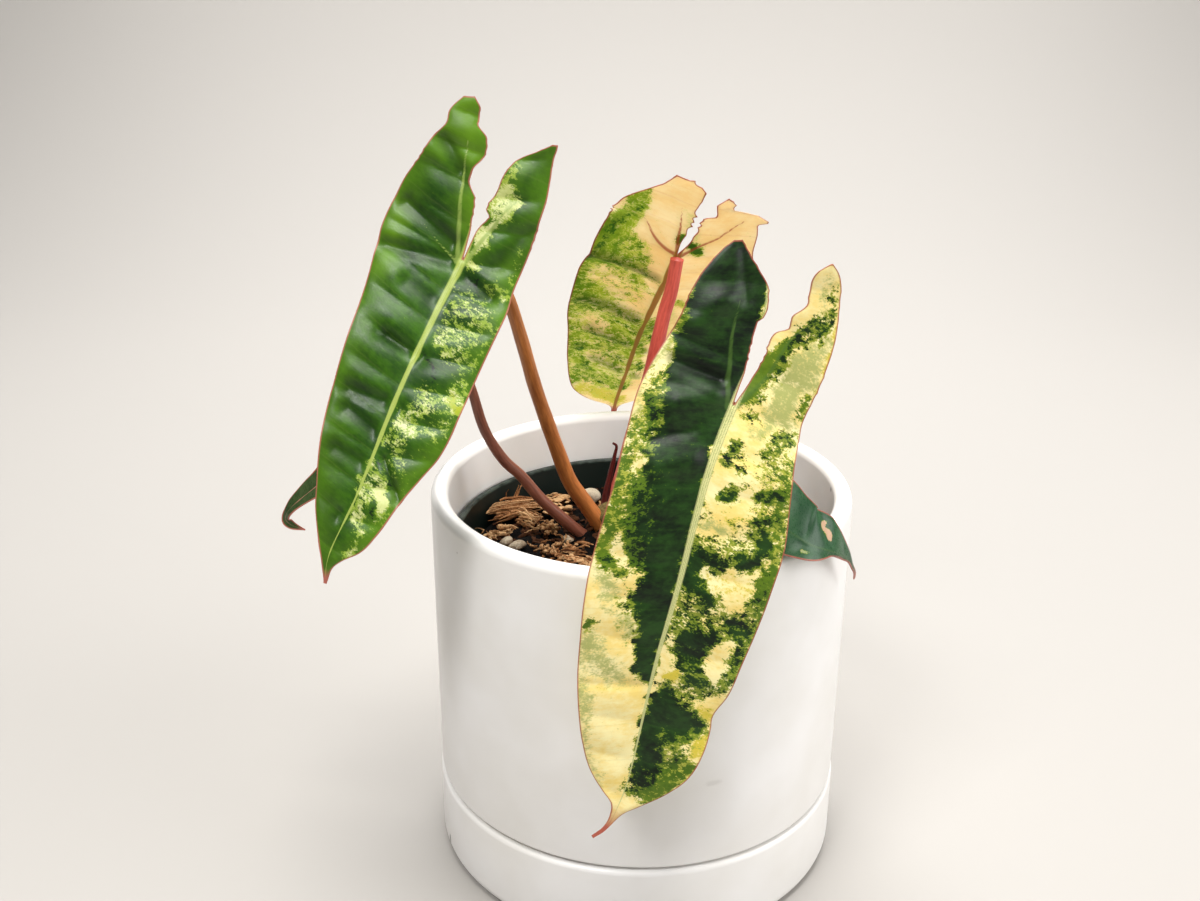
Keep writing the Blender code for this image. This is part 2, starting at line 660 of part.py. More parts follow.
def add_potting_mix():
    """The mix with its husk chips joined on by one Boolean union, which is applied."""
    rng = random.Random(CHIP_SEED + 1)
    body = add_mix_body()
    chips = bpy.data.collections.new("chips")
    bpy.context.scene.collection.children.link(chips)
    reach = nursery_radius(MIX_TOP) - CHIP_EDGE_CLEARANCE
    placed = 0
    while placed < CHIP_COUNT:
        radius = reach * math.sqrt(rng.random())
        angle = rng.uniform(0, 2 * math.pi)
        x, y = radius * math.cos(angle), radius * math.sin(angle)
        if math.hypot(x - STEM_PLACE[0], y - STEM_PLACE[1]) < STEM_RADIUS + CHIP_STEM_CLEARANCE:
            continue
        bm = bmesh.new()
        length = rng.uniform(*CHIP_LENGTHS)
        size = (length, length * rng.uniform(0.35, 0.5), rng.uniform(*CHIP_DEPTHS))
        place = (x, y, MIX_TOP + rng.uniform(-0.6, 1.4))
        chip_mesh(rng, bm, place, size, turn=rng.uniform(0, 2 * math.pi), tilt=rng.uniform(-0.2, 0.2))
        bmesh.ops.recalc_face_normals(bm, faces=bm.faces)
        mesh = bpy.data.meshes.new(f"chip_{placed}")
        bm.to_mesh(mesh)
        bm.free()
        chips.objects.link(bpy.data.objects.new(f"chip_{placed}", mesh))
        placed += 1
    join = body.modifiers.new("chips", "BOOLEAN")
    join.operation = "UNION"
    join.solver = "MANIFOLD"
    join.operand_type = "COLLECTION"
    join.collection = chips
    apply_modifiers(body)
    for chip in list(chips.objects):
        bpy.data.objects.remove(chip, do_unlink=True)
    bpy.data.collections.remove(chips)
    return body


def apply_modifiers(made):
    """Replaces an object's mesh by what its modifiers make of it, and clears them."""
    graph = bpy.context.evaluated_depsgraph_get()
    mesh = bpy.data.meshes.new_from_object(made.evaluated_get(graph))
    made.modifiers.clear()
    made.data = mesh


def keep_main_shell(mesh):
    """Drops every shell but the largest, which fills sealed pockets and removes loose scraps."""
    bm = bmesh.new()
    bm.from_mesh(mesh)
    bm.verts.ensure_lookup_table()
    shells = []
    unseen = set(bm.verts)
    while unseen:
        shell = {unseen.pop()}
        front = list(shell)
        while front:
            vertex = front.pop()
            for edge in vertex.link_edges:
                other = edge.other_vert(vertex)
                if other in unseen:
                    unseen.remove(other)
                    shell.add(other)
                    front.append(other)
        shells.append(shell)
    main_shell = max(shells, key=len)
    bmesh.ops.delete(bm, geom=[v for v in bm.verts if v not in main_shell], context="VERTS")
    bm.to_mesh(mesh)
    bm.free()


def stem_profile(extra=0.0):
    """Profile of the stem from its foot to its top, with two swollen rings, grown by a clearance."""
    top = STEM_TOP + extra
    rows = [(-1.4, -extra), (-0.6, 20), (0, 28), (0.5, 31), (-0.3, 33), (0.1, 36), (-1.6, 38.5)]
    profile = [(0, STEM_FOOT - extra)]
    profile += [(STEM_RADIUS + wider + extra, STEM_FOOT + up) for wider, up in rows]
    return profile + [(STEM_RADIUS - 3.6 + extra, top), (0, top)]


def add_stem():
    """The short stem that the stalks spring from, standing in the mix."""
    return turned("stem", stem_profile(), STEM_SIDES, material("stem_bark", "#6A5A34", 0.7), STEM_PLACE)


def add_blade(blade):
    """One leaf blade as its own solid."""
    places, faces = blade_mesh(blade)
    finish = material(f"{blade.name}_leaf", blade.color, 0.45)
    return add_object(blade.name, mesh_from(blade.name, places, faces), finish)


def tube(name, stalk, extra, finish):
    """A round tube along a stalk's path, from its foot radius to its top radius, with flat ends."""
    line = curve_through(stalk.path, 12)
    along = lengths_along(line)
    count = max(4, round(along[-1] / STALK_STEP))
    stations = np.linspace(0, along[-1], count + 1)
    centres = np.stack([np.interp(stations, along, line[:, k]) for k in range(3)], -1)
    radii = np.linspace(stalk.foot_radius, stalk.top_radius, count + 1) + extra
    tangent = unit(np.gradient(centres, axis=0))
    across = unit(np.cross(tangent, STALK_SEAM))
    over = np.cross(tangent, across)
    turn = 2 * math.pi * np.arange(STALK_SIDES)[:, None] / STALK_SIDES
    spokes = np.cos(turn) * across[:, None] + np.sin(turn) * over[:, None]
    rings = centres[:, None] + radii[:, None, None] * spokes
    faces = [tuple(range(STALK_SIDES))[::-1]]
    for row in range(count):
        for k in range(STALK_SIDES):
            after = (k + 1) % STALK_SIDES
            low, high = row * STALK_SIDES, (row + 1) * STALK_SIDES
            faces.append((low + k, low + after, high + after, high + k))
    faces.append(tuple(count * STALK_SIDES + k for k in range(STALK_SIDES)))
    return add_object(name, mesh_from(name, rings.reshape(-1, 3), faces), finish)


def add_plant(mix):
    """The stem, the five leaves and the young leaf's sheath, with plain holes for them in the mix."""
    stem = add_stem()
    clearance = turned(
        "stem_clearance", stem_profile(GAP), STEM_SIDES, stem.data.materials[0], STEM_PLACE
    )
    cut(mix, clearance, "MANIFOLD")
    holes = []
    for stalk in STALKS + (SHEATH,):
        finish = material(f"{stalk.name}_skin", stalk.color, 0.4)
        made = tube(stalk.name, stalk, 0.0, finish)
        cut(made, clearance)
        holes.append(tube(f"{stalk.name}_hole", stalk, GAP, finish))
        cut(mix, holes[-1], "MANIFOLD")
    apply_modifiers(mix)
    keep_main_shell(mix.data)
    for hole in holes:
        bpy.data.objects.remove(hole, do_unlink=True)
    for blade in BLADES:
        add_blade(blade)


def main():
    """Clears the scene and models the plant and its pots."""
    for old in list(bpy.data.objects):
        bpy.data.objects.remove(old, do_unlink=True)
    add_saucer()
    add_outer_pot()
    add_nursery_pot()
    mix = add_potting_mix()
    add_plant(mix)


main()
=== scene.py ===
"""The looks of a potted variegated philodendron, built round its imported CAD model.

Metres, +Z up, in the CAD model's frame: the origin is the middle of the saucer's underside, and -Y is the
front. The sizes in the classes are real millimetres. They are the CAD's where it has them, apart from the
back leaf's stalk, the front leaf's left margin and the left low leaf's tip, which follow the photograph.
"""

import logging
import math
from dataclasses import dataclass, replace
from enum import Enum

import bmesh
import bpy
import numpy as np
from mathutils import Matrix, Vector


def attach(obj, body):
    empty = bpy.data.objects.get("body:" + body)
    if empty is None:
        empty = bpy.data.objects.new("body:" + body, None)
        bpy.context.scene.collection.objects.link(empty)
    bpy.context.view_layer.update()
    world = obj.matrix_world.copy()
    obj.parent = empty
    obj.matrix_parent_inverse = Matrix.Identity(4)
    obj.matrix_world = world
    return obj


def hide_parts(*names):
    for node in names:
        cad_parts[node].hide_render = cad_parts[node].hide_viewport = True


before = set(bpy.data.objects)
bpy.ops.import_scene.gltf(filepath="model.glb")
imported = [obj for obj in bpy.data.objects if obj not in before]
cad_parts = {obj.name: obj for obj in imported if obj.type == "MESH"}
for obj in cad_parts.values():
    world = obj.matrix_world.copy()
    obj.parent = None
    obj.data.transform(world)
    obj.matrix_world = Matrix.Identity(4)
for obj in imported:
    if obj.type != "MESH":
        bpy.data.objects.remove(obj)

MM = 0.001
ROOT = "root"
LOG = logging.getLogger("potted_philodendron")

Point = tuple[float, float, float]
Pair = tuple[float, float]
Shells = list[tuple[np.ndarray, np.ndarray, float]]

# A place this many half widths from a rib, or more, counts as far from it.
FAR_FROM_RIBS = 8.0
# No husk fibre runs lower, or further from the pots' axis, than this in millimetres.
LOOSE_FLOOR = 117.2
LOOSE_REACH = 65.0


# Helpers: colours, nodes, meshes and lines


def linear(color: str) -> tuple[float, float, float, float]:
    """Turns an sRGB hex colour into Blender's linear red, green, blue and alpha.

    Args:
        color: The colour as "#RRGGBB".

    Returns:
        The four linear channels.
    """
    channels = [int(color[i : i + 2], 16) / 255 for i in (1, 3, 5)]
    made = [c / 12.92 if c <= 0.04045 else ((c + 0.055) / 1.055) ** 2.4 for c in channels]
    return (made[0], made[1], made[2], 1.0)


def find_socket(sockets: bpy.types.bpy_prop_collection, key: str | int) -> bpy.types.NodeSocket:
    """Finds a node's socket.

    Args:
        sockets: The node's inputs or outputs.
        key: The socket's position, identifier or name.

    Returns:
        The socket.
    """
    if isinstance(key, str):
        for socket in sockets:
            if socket.identifier == key:
                return socket
    return sockets[key]


def add_node(
    tree: bpy.types.NodeTree,
    kind: str,
    inputs: dict[str | int, object] | None = None,
    output: str | int = 0,
    **settings: object,
) -> bpy.types.NodeSocket | bpy.types.Node:
    """Adds a node with its settings and its inputs.

    Args:
        tree: The node tree of a material, world or modifier.
        kind: The node's type, such as "ShaderNodeMath".
        inputs: Constants or other nodes' sockets, by position, identifier or name.
        output: The output that is wanted.
        settings: The node's own properties.

    Returns:
        The wanted output socket, or the node itself where it has none.
    """
    node = tree.nodes.new(kind)
    for name, value in settings.items():
        setattr(node, name, value)
    for key, value in (inputs or {}).items():
        socket = find_socket(node.inputs, key)
        if isinstance(value, bpy.types.NodeSocket):
            tree.links.new(value, socket)
        else:
            socket.default_value = value
    return find_socket(node.outputs, output) if node.outputs else node


def new_material(name: str) -> tuple[bpy.types.Material, bpy.types.NodeTree]:
    """Makes an empty node material.

    Args:
        name: The material's plain name.

    Returns:
        The material and its node tree.
    """
    made = bpy.data.materials.new(name)
    made.use_nodes = True
    made.node_tree.nodes.clear()
    return made, made.node_tree


def mesh_object(name: str, places: np.ndarray, faces: list = (), edges: list = ()) -> bpy.types.Object:
    """Makes a smooth-shaded object at the origin.

    Args:
        name: The object's name.
        places: One row of three millimetre values for each vertex.
        faces: The corners of each face.
        edges: The two ends of each bare edge.

    Returns:
        The object, linked to the scene.
    """
    mesh = bpy.data.meshes.new(name)
    mesh.from_pydata((np.asarray(places, float) * MM).tolist(), edges, faces)
    mesh.update()
    mesh.shade_smooth()
    made = bpy.data.objects.new(name, mesh)
    bpy.context.scene.collection.objects.link(made)
    return made


def store(piece: bpy.types.Object, name: str, values: np.ndarray) -> None:
    """Stores one number, or one row of three, for each vertex.

    Args:
        piece: The object.
        name: The attribute's name.
        values: The numbers or rows.
    """
    kind, field = ("FLOAT_VECTOR", "vector") if values.ndim > 1 else ("FLOAT", "value")
    made = piece.data.attributes.new(name, kind, "POINT")
    made.data.foreach_set(field, values.astype(np.float32).ravel())


def face_outwards(mesh: bpy.types.Mesh, sharp: float) -> None:
    """Turns the faces of a closed mesh outwards and shades it smooth between its sharp edges.

    Args:
        mesh: The mesh.
        sharp: The angle in degrees from which an edge is sharp.
    """
    bm = bmesh.new()
    bm.from_mesh(mesh)
    bmesh.ops.recalc_face_normals(bm, faces=bm.faces)
    bm.to_mesh(mesh)
    bm.free()
    mesh.shade_smooth()
    mesh.set_sharp_from_angle(angle=math.radians(sharp))


def add_body(
    tree: bpy.types.NodeTree, look: dict[str, object], height: bpy.types.NodeSocket, relief: Pair
) -> None:
    """Ends the material of one solid substance with its relief, its body and the output.

    Args:
        tree: The material's node tree.
        look: The body's inputs, by name.
        height: The pattern that stands out.
        relief: How strongly it does, and how far in metres.
    """
    strength, distance = relief
    bump = add_node(tree, "ShaderNodeBump", {"Strength": strength, "Distance": distance, "Height": height})
    body = add_node(tree, "ShaderNodeBsdfPrincipled", {**look, "Normal": bump})
    add_node(tree, "ShaderNodeOutputMaterial", {"Surface": body})


def dress(piece: bpy.types.Object, finish: bpy.types.Material, slot: str, *nodes: str) -> None:
    """Gives a finished piece its material and its place in the frame.

    Args:
        piece: The piece, at the origin with its place in its mesh.
        finish: Its material.
        slot: The record's material slot; not used.
        nodes: The CAD nodes that it stands for.
    """
    piece.data.materials.clear()
    piece.data.materials.append(finish)
    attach(piece, ROOT)
    if nodes:
        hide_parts(*nodes)
    LOG.info("%s: %d faces", piece.name, len(piece.data.polygons))


def unit(vectors: np.ndarray) -> np.ndarray:
    """Returns the rows of an array at length one."""
    return vectors / np.linalg.norm(vectors, axis=-1, keepdims=True)


def smooth_through(points: tuple[Pair, ...], wanted: np.ndarray) -> np.ndarray:
    """Reads a smooth curve through (station, value) points, with no overshoot.

    Args:
        points: The stations, rising, and their values.
        wanted: The stations to read.

    Returns:
        The values there.
    """
    xs, ys = np.array(points, float).T
    steps = np.diff(xs)
    slopes = np.diff(ys) / steps
    tangents = np.concatenate([slopes[:1], (slopes[:-1] + slopes[1:]) / 2, slopes[-1:]])
    turning = np.concatenate([[False], slopes[:-1] * slopes[1:] <= 0, [False]])
    tangents[turning] = 0.0
    wanted = np.clip(wanted, xs[0], xs[-1])
    i = np.clip(np.searchsorted(xs, wanted, side="right") - 1, 0, len(steps) - 1)
    u = (wanted - xs[i]) / steps[i]
    near = (1 + 2 * u) * (1 - u) ** 2 * ys[i] + u * (1 - u) ** 2 * steps[i] * tangents[i]
    far = u * u * (3 - 2 * u) * ys[i + 1] - u * u * (1 - u) * steps[i] * tangents[i + 1]
    return near + far


def curve_through(places: tuple[tuple[float, ...], ...], per_span: int = 40) -> np.ndarray:
    """Makes a dense smooth line through a few places, as Catmull-Rom spans.

    Args:
        places: The places that the line passes.
        per_span: Points for each span.

    Returns:
        One row for each point of the line.
    """
    p = np.array(places, float)
    p = np.vstack([2 * p[0] - p[1], p, 2 * p[-1] - p[-2]])
    u = np.linspace(0, 1, per_span, endpoint=False)[:, None]
    spans = []
    for a, b, c, d in zip(p[:-3], p[1:-2], p[2:-1], p[3:]):
        bend = u * (2 * a - 5 * b + 4 * c - d + u * (3 * (b - c) + d - a))
        spans.append(b + 0.5 * u * (c - a + bend))
    return np.vstack(spans + [p[-2:-1]])


def lengths_along(line: np.ndarray) -> np.ndarray:
    """Returns the distance of each point of a line from its first point."""
    return np.concatenate([[0.0], np.cumsum(np.linalg.norm(np.diff(line, axis=0), axis=1))])


def read_along(wanted: np.ndarray, stations: np.ndarray, rows: np.ndarray) -> np.ndarray:
    """Returns rows of three values at the wanted stations, between those at the known ones."""
    return np.stack([np.interp(wanted, stations, rows[:, k]) for k in range(3)], -1)


# Leaves


class Tone(Enum):
    """The tissues of a variegated leaf: how far yellow, mint, green, lime and dark green cover the cream."""

    CREAM = (0.0, 0.0, 0.0, 0.0, 0.0)
    YELLOW = (1.0, 0.0, 0.0, 0.0, 0.0)
    MINT = (0.0, 1.0, 0.0, 0.0, 0.0)
    GREEN = (0.0, 0.0, 1.0, 0.0, 0.0)
    LIME = (0.0, 0.0, 1.0, 1.0, 0.0)
    DARK = (0.0, 0.0, 1.0, 0.0, 1.0)


CREAM, YELLOW, MINT, GREEN, LIME, DARK = Tone
# Millimetres over which a patch fades out.
SOFT_EDGE = 5.5
SOFT_EDGES = {MINT: 7.0, LIME: 9.0}


@dataclass(frozen=True)
class Stroke:
    """A straight stroke on a leaf between two places in millimetres, offsets of the minus half below 0."""

    start_station: float
    start_offset: float
    end_station: float
    end_offset: float

    def away(self, station: np.ndarray, offset: np.ndarray) -> np.ndarray:
        """Measures how far leaf places lie from the stroke.

        Args:
            station: Stations along the spine.
            offset: Signed offsets from it.

        Returns:
            The distances in millimetres.
        """
        start = np.array((self.start_station, self.start_offset))
        along = np.array((self.end_station, self.end_offset)) - start
        here = np.stack([station, offset], -1) - start
        share = np.clip(here @ along / max(along @ along, 1e-9), 0, 1)
        return np.linalg.norm(here - share[..., None] * along, axis=-1)


@dataclass(frozen=True)
class Patch(Stroke):
    """A patch of one tissue, with a second one showing through over a share of its area."""

    radius: float
    tone: Tone
    speckle: Tone = CREAM
    share: float = 0.0
    soft: float = 0.0

    def cover(self) -> np.ndarray:
        """Returns how far each tissue covers the cream in this patch."""
        return (1 - self.share) * np.array(self.tone.value) + self.share * np.array(self.speckle.value)

    def mask(self, station: np.ndarray, offset: np.ndarray) -> np.ndarray:
        """Measures how far the patch covers leaf places.

        Args:
            station: Stations along the spine.
            offset: Signed offsets from it.

        Returns:
            1 inside the patch, 0 outside it and a share between over its soft edge.
        """
        soft = self.soft or SOFT_EDGES.get(self.tone, SOFT_EDGE)
        edge = np.clip((self.radius - self.away(station, offset)) / soft + 0.5, 0, 1)
        return edge * edge * (3 - 2 * edge)


@dataclass(frozen=True)
class Crease(Stroke):
    """A valley or, with a depth below 0, a bulge across a leaf."""

    depth: float
    width: float

    def drop(self, station: np.ndarray, offset: np.ndarray) -> np.ndarray:
        """Returns how far the crease lowers the surface at leaf places."""
        return self.depth * np.exp(-((self.away(station, offset) / self.width) ** 2))


def strokes(kind: type[Stroke], *rows: tuple) -> tuple[Stroke, ...]:
    """Makes the strokes of one kind from rows of their values."""
    return tuple(kind(*row) for row in rows)


@dataclass(frozen=True)
class Rib:
    """A main vein of a basal lobe: its path in leaf millimetres and its half width at its foot."""

    path: tuple[Pair, ...]
    half_width: float = 0.8

    def ratio(self, station: np.ndarray, offset: np.ndarray) -> np.ndarray:
        """Measures leaf places against the rib.

        Args:
            station: Stations along the spine.
            offset: Signed offsets from it.

        Returns:
            The distance from the rib's middle line in half widths: up to 1 is on the rib.
        """
        line = curve_through(self.path, 24)
        here = np.stack([station, offset], -1)
        distance = np.linalg.norm(here[:, None, :] - line[None, :, :], axis=-1)
        nearest = distance.argmin(axis=1)
        width = self.half_width * (1 - 0.75 * nearest / (len(line) - 1))
        return np.clip(distance[np.arange(len(here)), nearest] / width, 0, FAR_FROM_RIBS)


@dataclass(frozen=True)
class LeafSkin:
    """Living leaf tissue under a thin wax: soft gloss above, matt below, and light coming through it.

    The green lies in two layers of cells. Where only one of them has it, the leaf shows the half green.
    """

    name: str
    cream: str = "#E9E6A8"
    cream_deep: str = "#D3D784"
    yellow: str = "#B9BC2C"
    mint: str = "#AEBC72"
    half_green: str = "#93AC3E"
    green: str = "#3C680E"
    green_deep: str = "#1F430B"
    lime: str = "#7C9F18"
    dark: str = "#1E3C12"
    dark_deep: str = "#081606"
    midrib: str = "#BAC868"
    midrib_line: str = "#869A3A"
    midrib_below: str = "#A4553C"
    rib: str = "#93AA52"
    rib_below: str = "#B4503E"
    margin: str = "#B4685A"
    midrib_half_width: float = 1.4
    midrib_taper: float = 0.92
    midrib_end: float = 0.16
    midrib_lines: float = 0.5
    rib_strength: float = 0.8
    vein_strength: float = 0.14
    gloss: float = 0.3
    specular: float = 0.45
    blend: float = 0.07
    # How far painted shade darkens the crease hollows, and the tint that it multiplies the colour by.
    hollow_shade: float = 0.6
    hollow_shade_tint: tuple[float, float, float, float] = (0.25, 0.34, 0.22, 1.0)
    margin_lime: float = 0.25
    light_through: float = 0.12

    def material(self, pitch: float, grain: Pair, end: float) -> bpy.types.Material:
        """Builds the material.

        Args:
            pitch: Millimetres between the side veins.
            grain: How far the side veins of each half move along the leaf for each millimetre outwards.
            end: The station of the leaf's tip.

        Returns:
            The node material. It reads the leaf's own point attributes.
        """
        made, tree = new_material(self.name)
        read: list[bpy.types.NodeSocket] = []
        for name in ("leaf_place", "leaf_tones", "leaf_marks", "leaf_veins"):
            vector = add_node(tree, "ShaderNodeAttribute", output="Vector", attribute_name=name)
            read += add_node(tree, "ShaderNodeSeparateXYZ", {0: vector}).node.outputs[:]
        station, offset, edge, yellow, mint, green, lime, dark, tip, rib, below, hollow = read

        # The side veins run outwards at a slant, and every pattern is drawn out along them.
        outward = add_node(tree, "ShaderNodeMath", {0: offset}, operation="ABSOLUTE")
        slid, mean, lean = station, (grain[0] + grain[1]) / 2, (grain[0] - grain[1]) / 2
        for away, slant in ((outward, mean), (offset, lean)):
            slid = add_node(tree, "ShaderNodeMath", {0: away, 1: -slant, 2: slid}, operation="MULTIPLY_ADD")
        across = add_node(tree, "ShaderNodeMath", {0: offset, 1: 0.6}, operation="MULTIPLY")
        tissue = add_node(tree, "ShaderNodeCombineXYZ", {0: slid, 1: across, 2: below})

        # Each pattern has the size of its blotches in millimetres, a shift and a swing to both sides of 0.
        patterns = []
        for size, shift, swing in (
            (1.7, 0.0, 0.28),
            (0.5, 0.0, 0.2),
            (11.0, 0.0, 0.55),
            (2.0, 40.0, 0.26),
            (0.5, 80.0, 0.2),
        ):
            moved = {0: tissue, 1: (shift, shift, 0.0)}
            spot = add_node(tree, "ShaderNodeVectorMath", moved, operation="ADD")
            texture = {"Vector": spot, "Scale": 1 / size, "Detail": 4.0, "Roughness": 0.62}
            noise = add_node(tree, "ShaderNodeTexNoise", texture)
            swung = {"Value": noise, "From Min": 0.33, "From Max": 0.67, "To Min": -swing, "To Max": swing}
            patterns.append(add_node(tree, "ShaderNodeMapRange", swung))
        blotch, fine, drift, blotch_under, fine_under = patterns
        cells = add_node(tree, "ShaderNodeTexVoronoi", {"Vector": tissue, "Scale": 1 / 1.1}, "Color")
        cell = add_node(tree, "ShaderNodeSeparateColor", {0: cells})
        upper = add_node(tree, "ShaderNodeMath", {0: cell, 1: 0.1, 2: -0.05}, operation="MULTIPLY_ADD")
        for part in (blotch, fine):
            upper = add_node(tree, "ShaderNodeMath", {0: upper, 1: part}, operation="ADD")
        under = add_node(tree, "ShaderNodeMath", {0: blotch_under, 1: fine_under}, operation="ADD")

        # Each cover plus its layer's pattern makes a ragged mask from its low to its high limit.
        depth = add_node(tree, "ShaderNodeMath", {0: blotch, 1: 0.9, 2: drift}, operation="MULTIPLY_ADD")
        soft = self.blend
        masks = []
        for cover, layer, low, high in (
            (depth, None, -0.6, 0.6),
            (yellow, under, 0.3, 0.72),
            (mint, under, 0.2, 0.8),
            (green, under, 0.4 - soft, 0.4 + soft),
            (green, upper, 0.5 - soft, 0.5 + soft),
            (dark, under, 0.44 - soft, 0.44 + soft),
            (dark, upper, 0.56 - soft, 0.56 + soft),
        ):
            if layer is not None:
                cover = add_node(tree, "ShaderNodeMath", {0: cover, 1: layer}, operation="ADD")
            limits = {"Value": cover, "From Min": low, "From Max": high}
            masks.append(add_node(tree, "ShaderNodeMapRange", limits, interpolation_type="SMOOTHSTEP"))
        deep, yellow_mask, mint_mask, half_mask, green_mask, dark_under, dark_mask = masks
        dark_edge = add_node(tree, "ShaderNodeMath", {0: dark_under, 1: 0.55}, operation="MULTIPLY")
        limed = add_node(tree, "ShaderNodeMath", {0: lime, 1: 0.6}, operation="MULTIPLY")

        # Side veins: a pale thread at each pitch, and a finer one at each sixth of it.
        bowed = add_node(tree, "ShaderNodeMath", {0: blotch, 1: 0.6, 2: slid}, operation="MULTIPLY_ADD")
        threads, relief = [], fine
        veins = ((pitch, 0.45, self.vein_strength), (pitch / 6, 0.3, self.vein_strength / 2))
        for spacing, width, strength in veins:
            near = add_node(tree, "ShaderNodeMath", {0: bowed, 1: spacing / 2}, operation="PINGPONG")
            limits = {"Value": near, "From Min": 0.0, "From Max": width, "To Min": strength, "To Max": 0.0}
            threads.append(add_node(tree, "ShaderNodeMapRange", limits, interpolation_type="SMOOTHSTEP"))
            sunk = {0: threads[-1], 1: -1.6, 2: relief}
            relief = add_node(tree, "ShaderNodeMath", sunk, operation="MULTIPLY_ADD")

        # The midrib narrows towards the tip, and fine green lines run along its flanks.
        length = {"Value": station, "From Min": 0.0, "From Max": end * self.midrib_taper}
        widths = {"To Min": self.midrib_half_width, "To Max": self.midrib_half_width * self.midrib_end}
        half_width = add_node(tree, "ShaderNodeMapRange", {**length, **widths})
        spread = add_node(tree, "ShaderNodeMath", {0: outward, 1: half_width}, operation="DIVIDE")
        wander = add_node(tree, "ShaderNodeMath", {0: fine, 1: 0.8, 2: spread}, operation="MULTIPLY_ADD")
        lines = add_node(tree, "ShaderNodeMath", {0: wander, 1: 0.28}, operation="PINGPONG")
        # Each strip has a value, where the value starts and ends, and the strip's strength there.
        strips = []
        for value, low, high, most, least in (
            (hollow, 0.0, 1.6, 0.0, self.hollow_shade),
            (rib, 0.5, 1.6, self.rib_strength, 0.0),
            (spread, 0.75, 1.25, 0.92, 0.0),
            (lines, 0.16, 0.28, 0.0, self.midrib_lines),
            (edge, 0.15, 0.65, 0.9, 0.0),
            (edge, 0.0, 12.0, self.margin_lime, 0.0),
        ):
            limits = {"Value": value, "From Min": low, "From Max": high, "To Min": most, "To Max": least}
            strips.append(add_node(tree, "ShaderNodeMapRange", limits, interpolation_type="SMOOTHSTEP"))
        hollow_shade_mask, rib_mask, midrib_mask, line_mask, rim, margin_mask = strips
        red = add_node(tree, "ShaderNodeMath", {0: rim, 1: tip}, operation="MAXIMUM")
        keel = add_node(tree, "ShaderNodeMath", {0: midrib_mask, 1: below}, operation="MULTIPLY")

        # Paints that are mixed first, then each paint over the last: tissues, painted shade in the crease
        # hollows, veins, midrib, margin.
        mixed = []
        for share, first, second in (
            (deep, linear(self.cream), linear(self.cream_deep)),
            (deep, linear(self.green), linear(self.green_deep)),
            (deep, linear(self.dark), linear(self.dark_deep)),
            (below, linear(self.rib), linear(self.rib_below)),
            (line_mask, linear(self.midrib), linear(self.midrib_line)),
        ):
            paints = {"Factor_Float": share, "A_Color": first, "B_Color": second}
            mixed.append(add_node(tree, "ShaderNodeMix", paints, "Result_Color", data_type="RGBA"))
        color, green_paint, dark_paint, rib_paint, lined = mixed
        for share in (margin_mask, limed):
            paints = {"Factor_Float": share, "A_Color": green_paint, "B_Color": linear(self.lime)}
            green_paint = add_node(tree, "ShaderNodeMix", paints, "Result_Color", data_type="RGBA")
        for share, paint, style in (
            (yellow_mask, linear(self.yellow), "MIX"),
            (mint_mask, linear(self.mint), "MIX"),
            (half_mask, linear(self.half_green), "MIX"),
            (green_mask, green_paint, "MIX"),
            (dark_edge, green_paint, "MIX"),
            (dark_mask, dark_paint, "MIX"),
            # Painted shade: the crease hollows are multiplied darker by the hollow tint.
            (hollow_shade_mask, self.hollow_shade_tint, "MULTIPLY"),
            (threads[0], rib_paint, "MIX"),
            (threads[1], rib_paint, "MIX"),
            (rib_mask, rib_paint, "MIX"),
            (midrib_mask, lined, "MIX"),
            (keel, linear(self.midrib_below), "MIX"),
            (red, linear(self.margin), "MIX"),
        ):
            paints = {"Factor_Float": share, "A_Color": color, "B_Color": paint}
            kinds = {"data_type": "RGBA", "blend_type": style}
            color = add_node(tree, "ShaderNodeMix", paints, "Result_Color", **kinds)

        shine = add_node(tree, "ShaderNodeMath", {0: fine, 1: 0.3, 2: self.gloss}, operation="MULTIPLY_ADD")
        duller = add_node(tree, "ShaderNodeMath", {0: below, 1: 0.2, 2: shine}, operation="MULTIPLY_ADD")
        bump = add_node(tree, "ShaderNodeBump", {"Strength": 0.35, "Distance": 0.0001, "Height": relief})
        wax = {"Base Color": color, "Roughness": duller, "IOR": 1.42, "Specular IOR Level": self.specular}
        body = add_node(tree, "ShaderNodeBsdfPrincipled", {**wax, "Normal": bump})
        through = add_node(tree, "ShaderNodeBsdfTranslucent", {"Color": color})
        skin = add_node(tree, "ShaderNodeMixShader", {0: self.light_through, 1: body, 2: through})
        add_node(tree, "ShaderNodeOutputMaterial", {"Surface": skin})
        return made


# Points that curve_through puts between two places of a leaf's spine.
SPINE_POINTS = 40


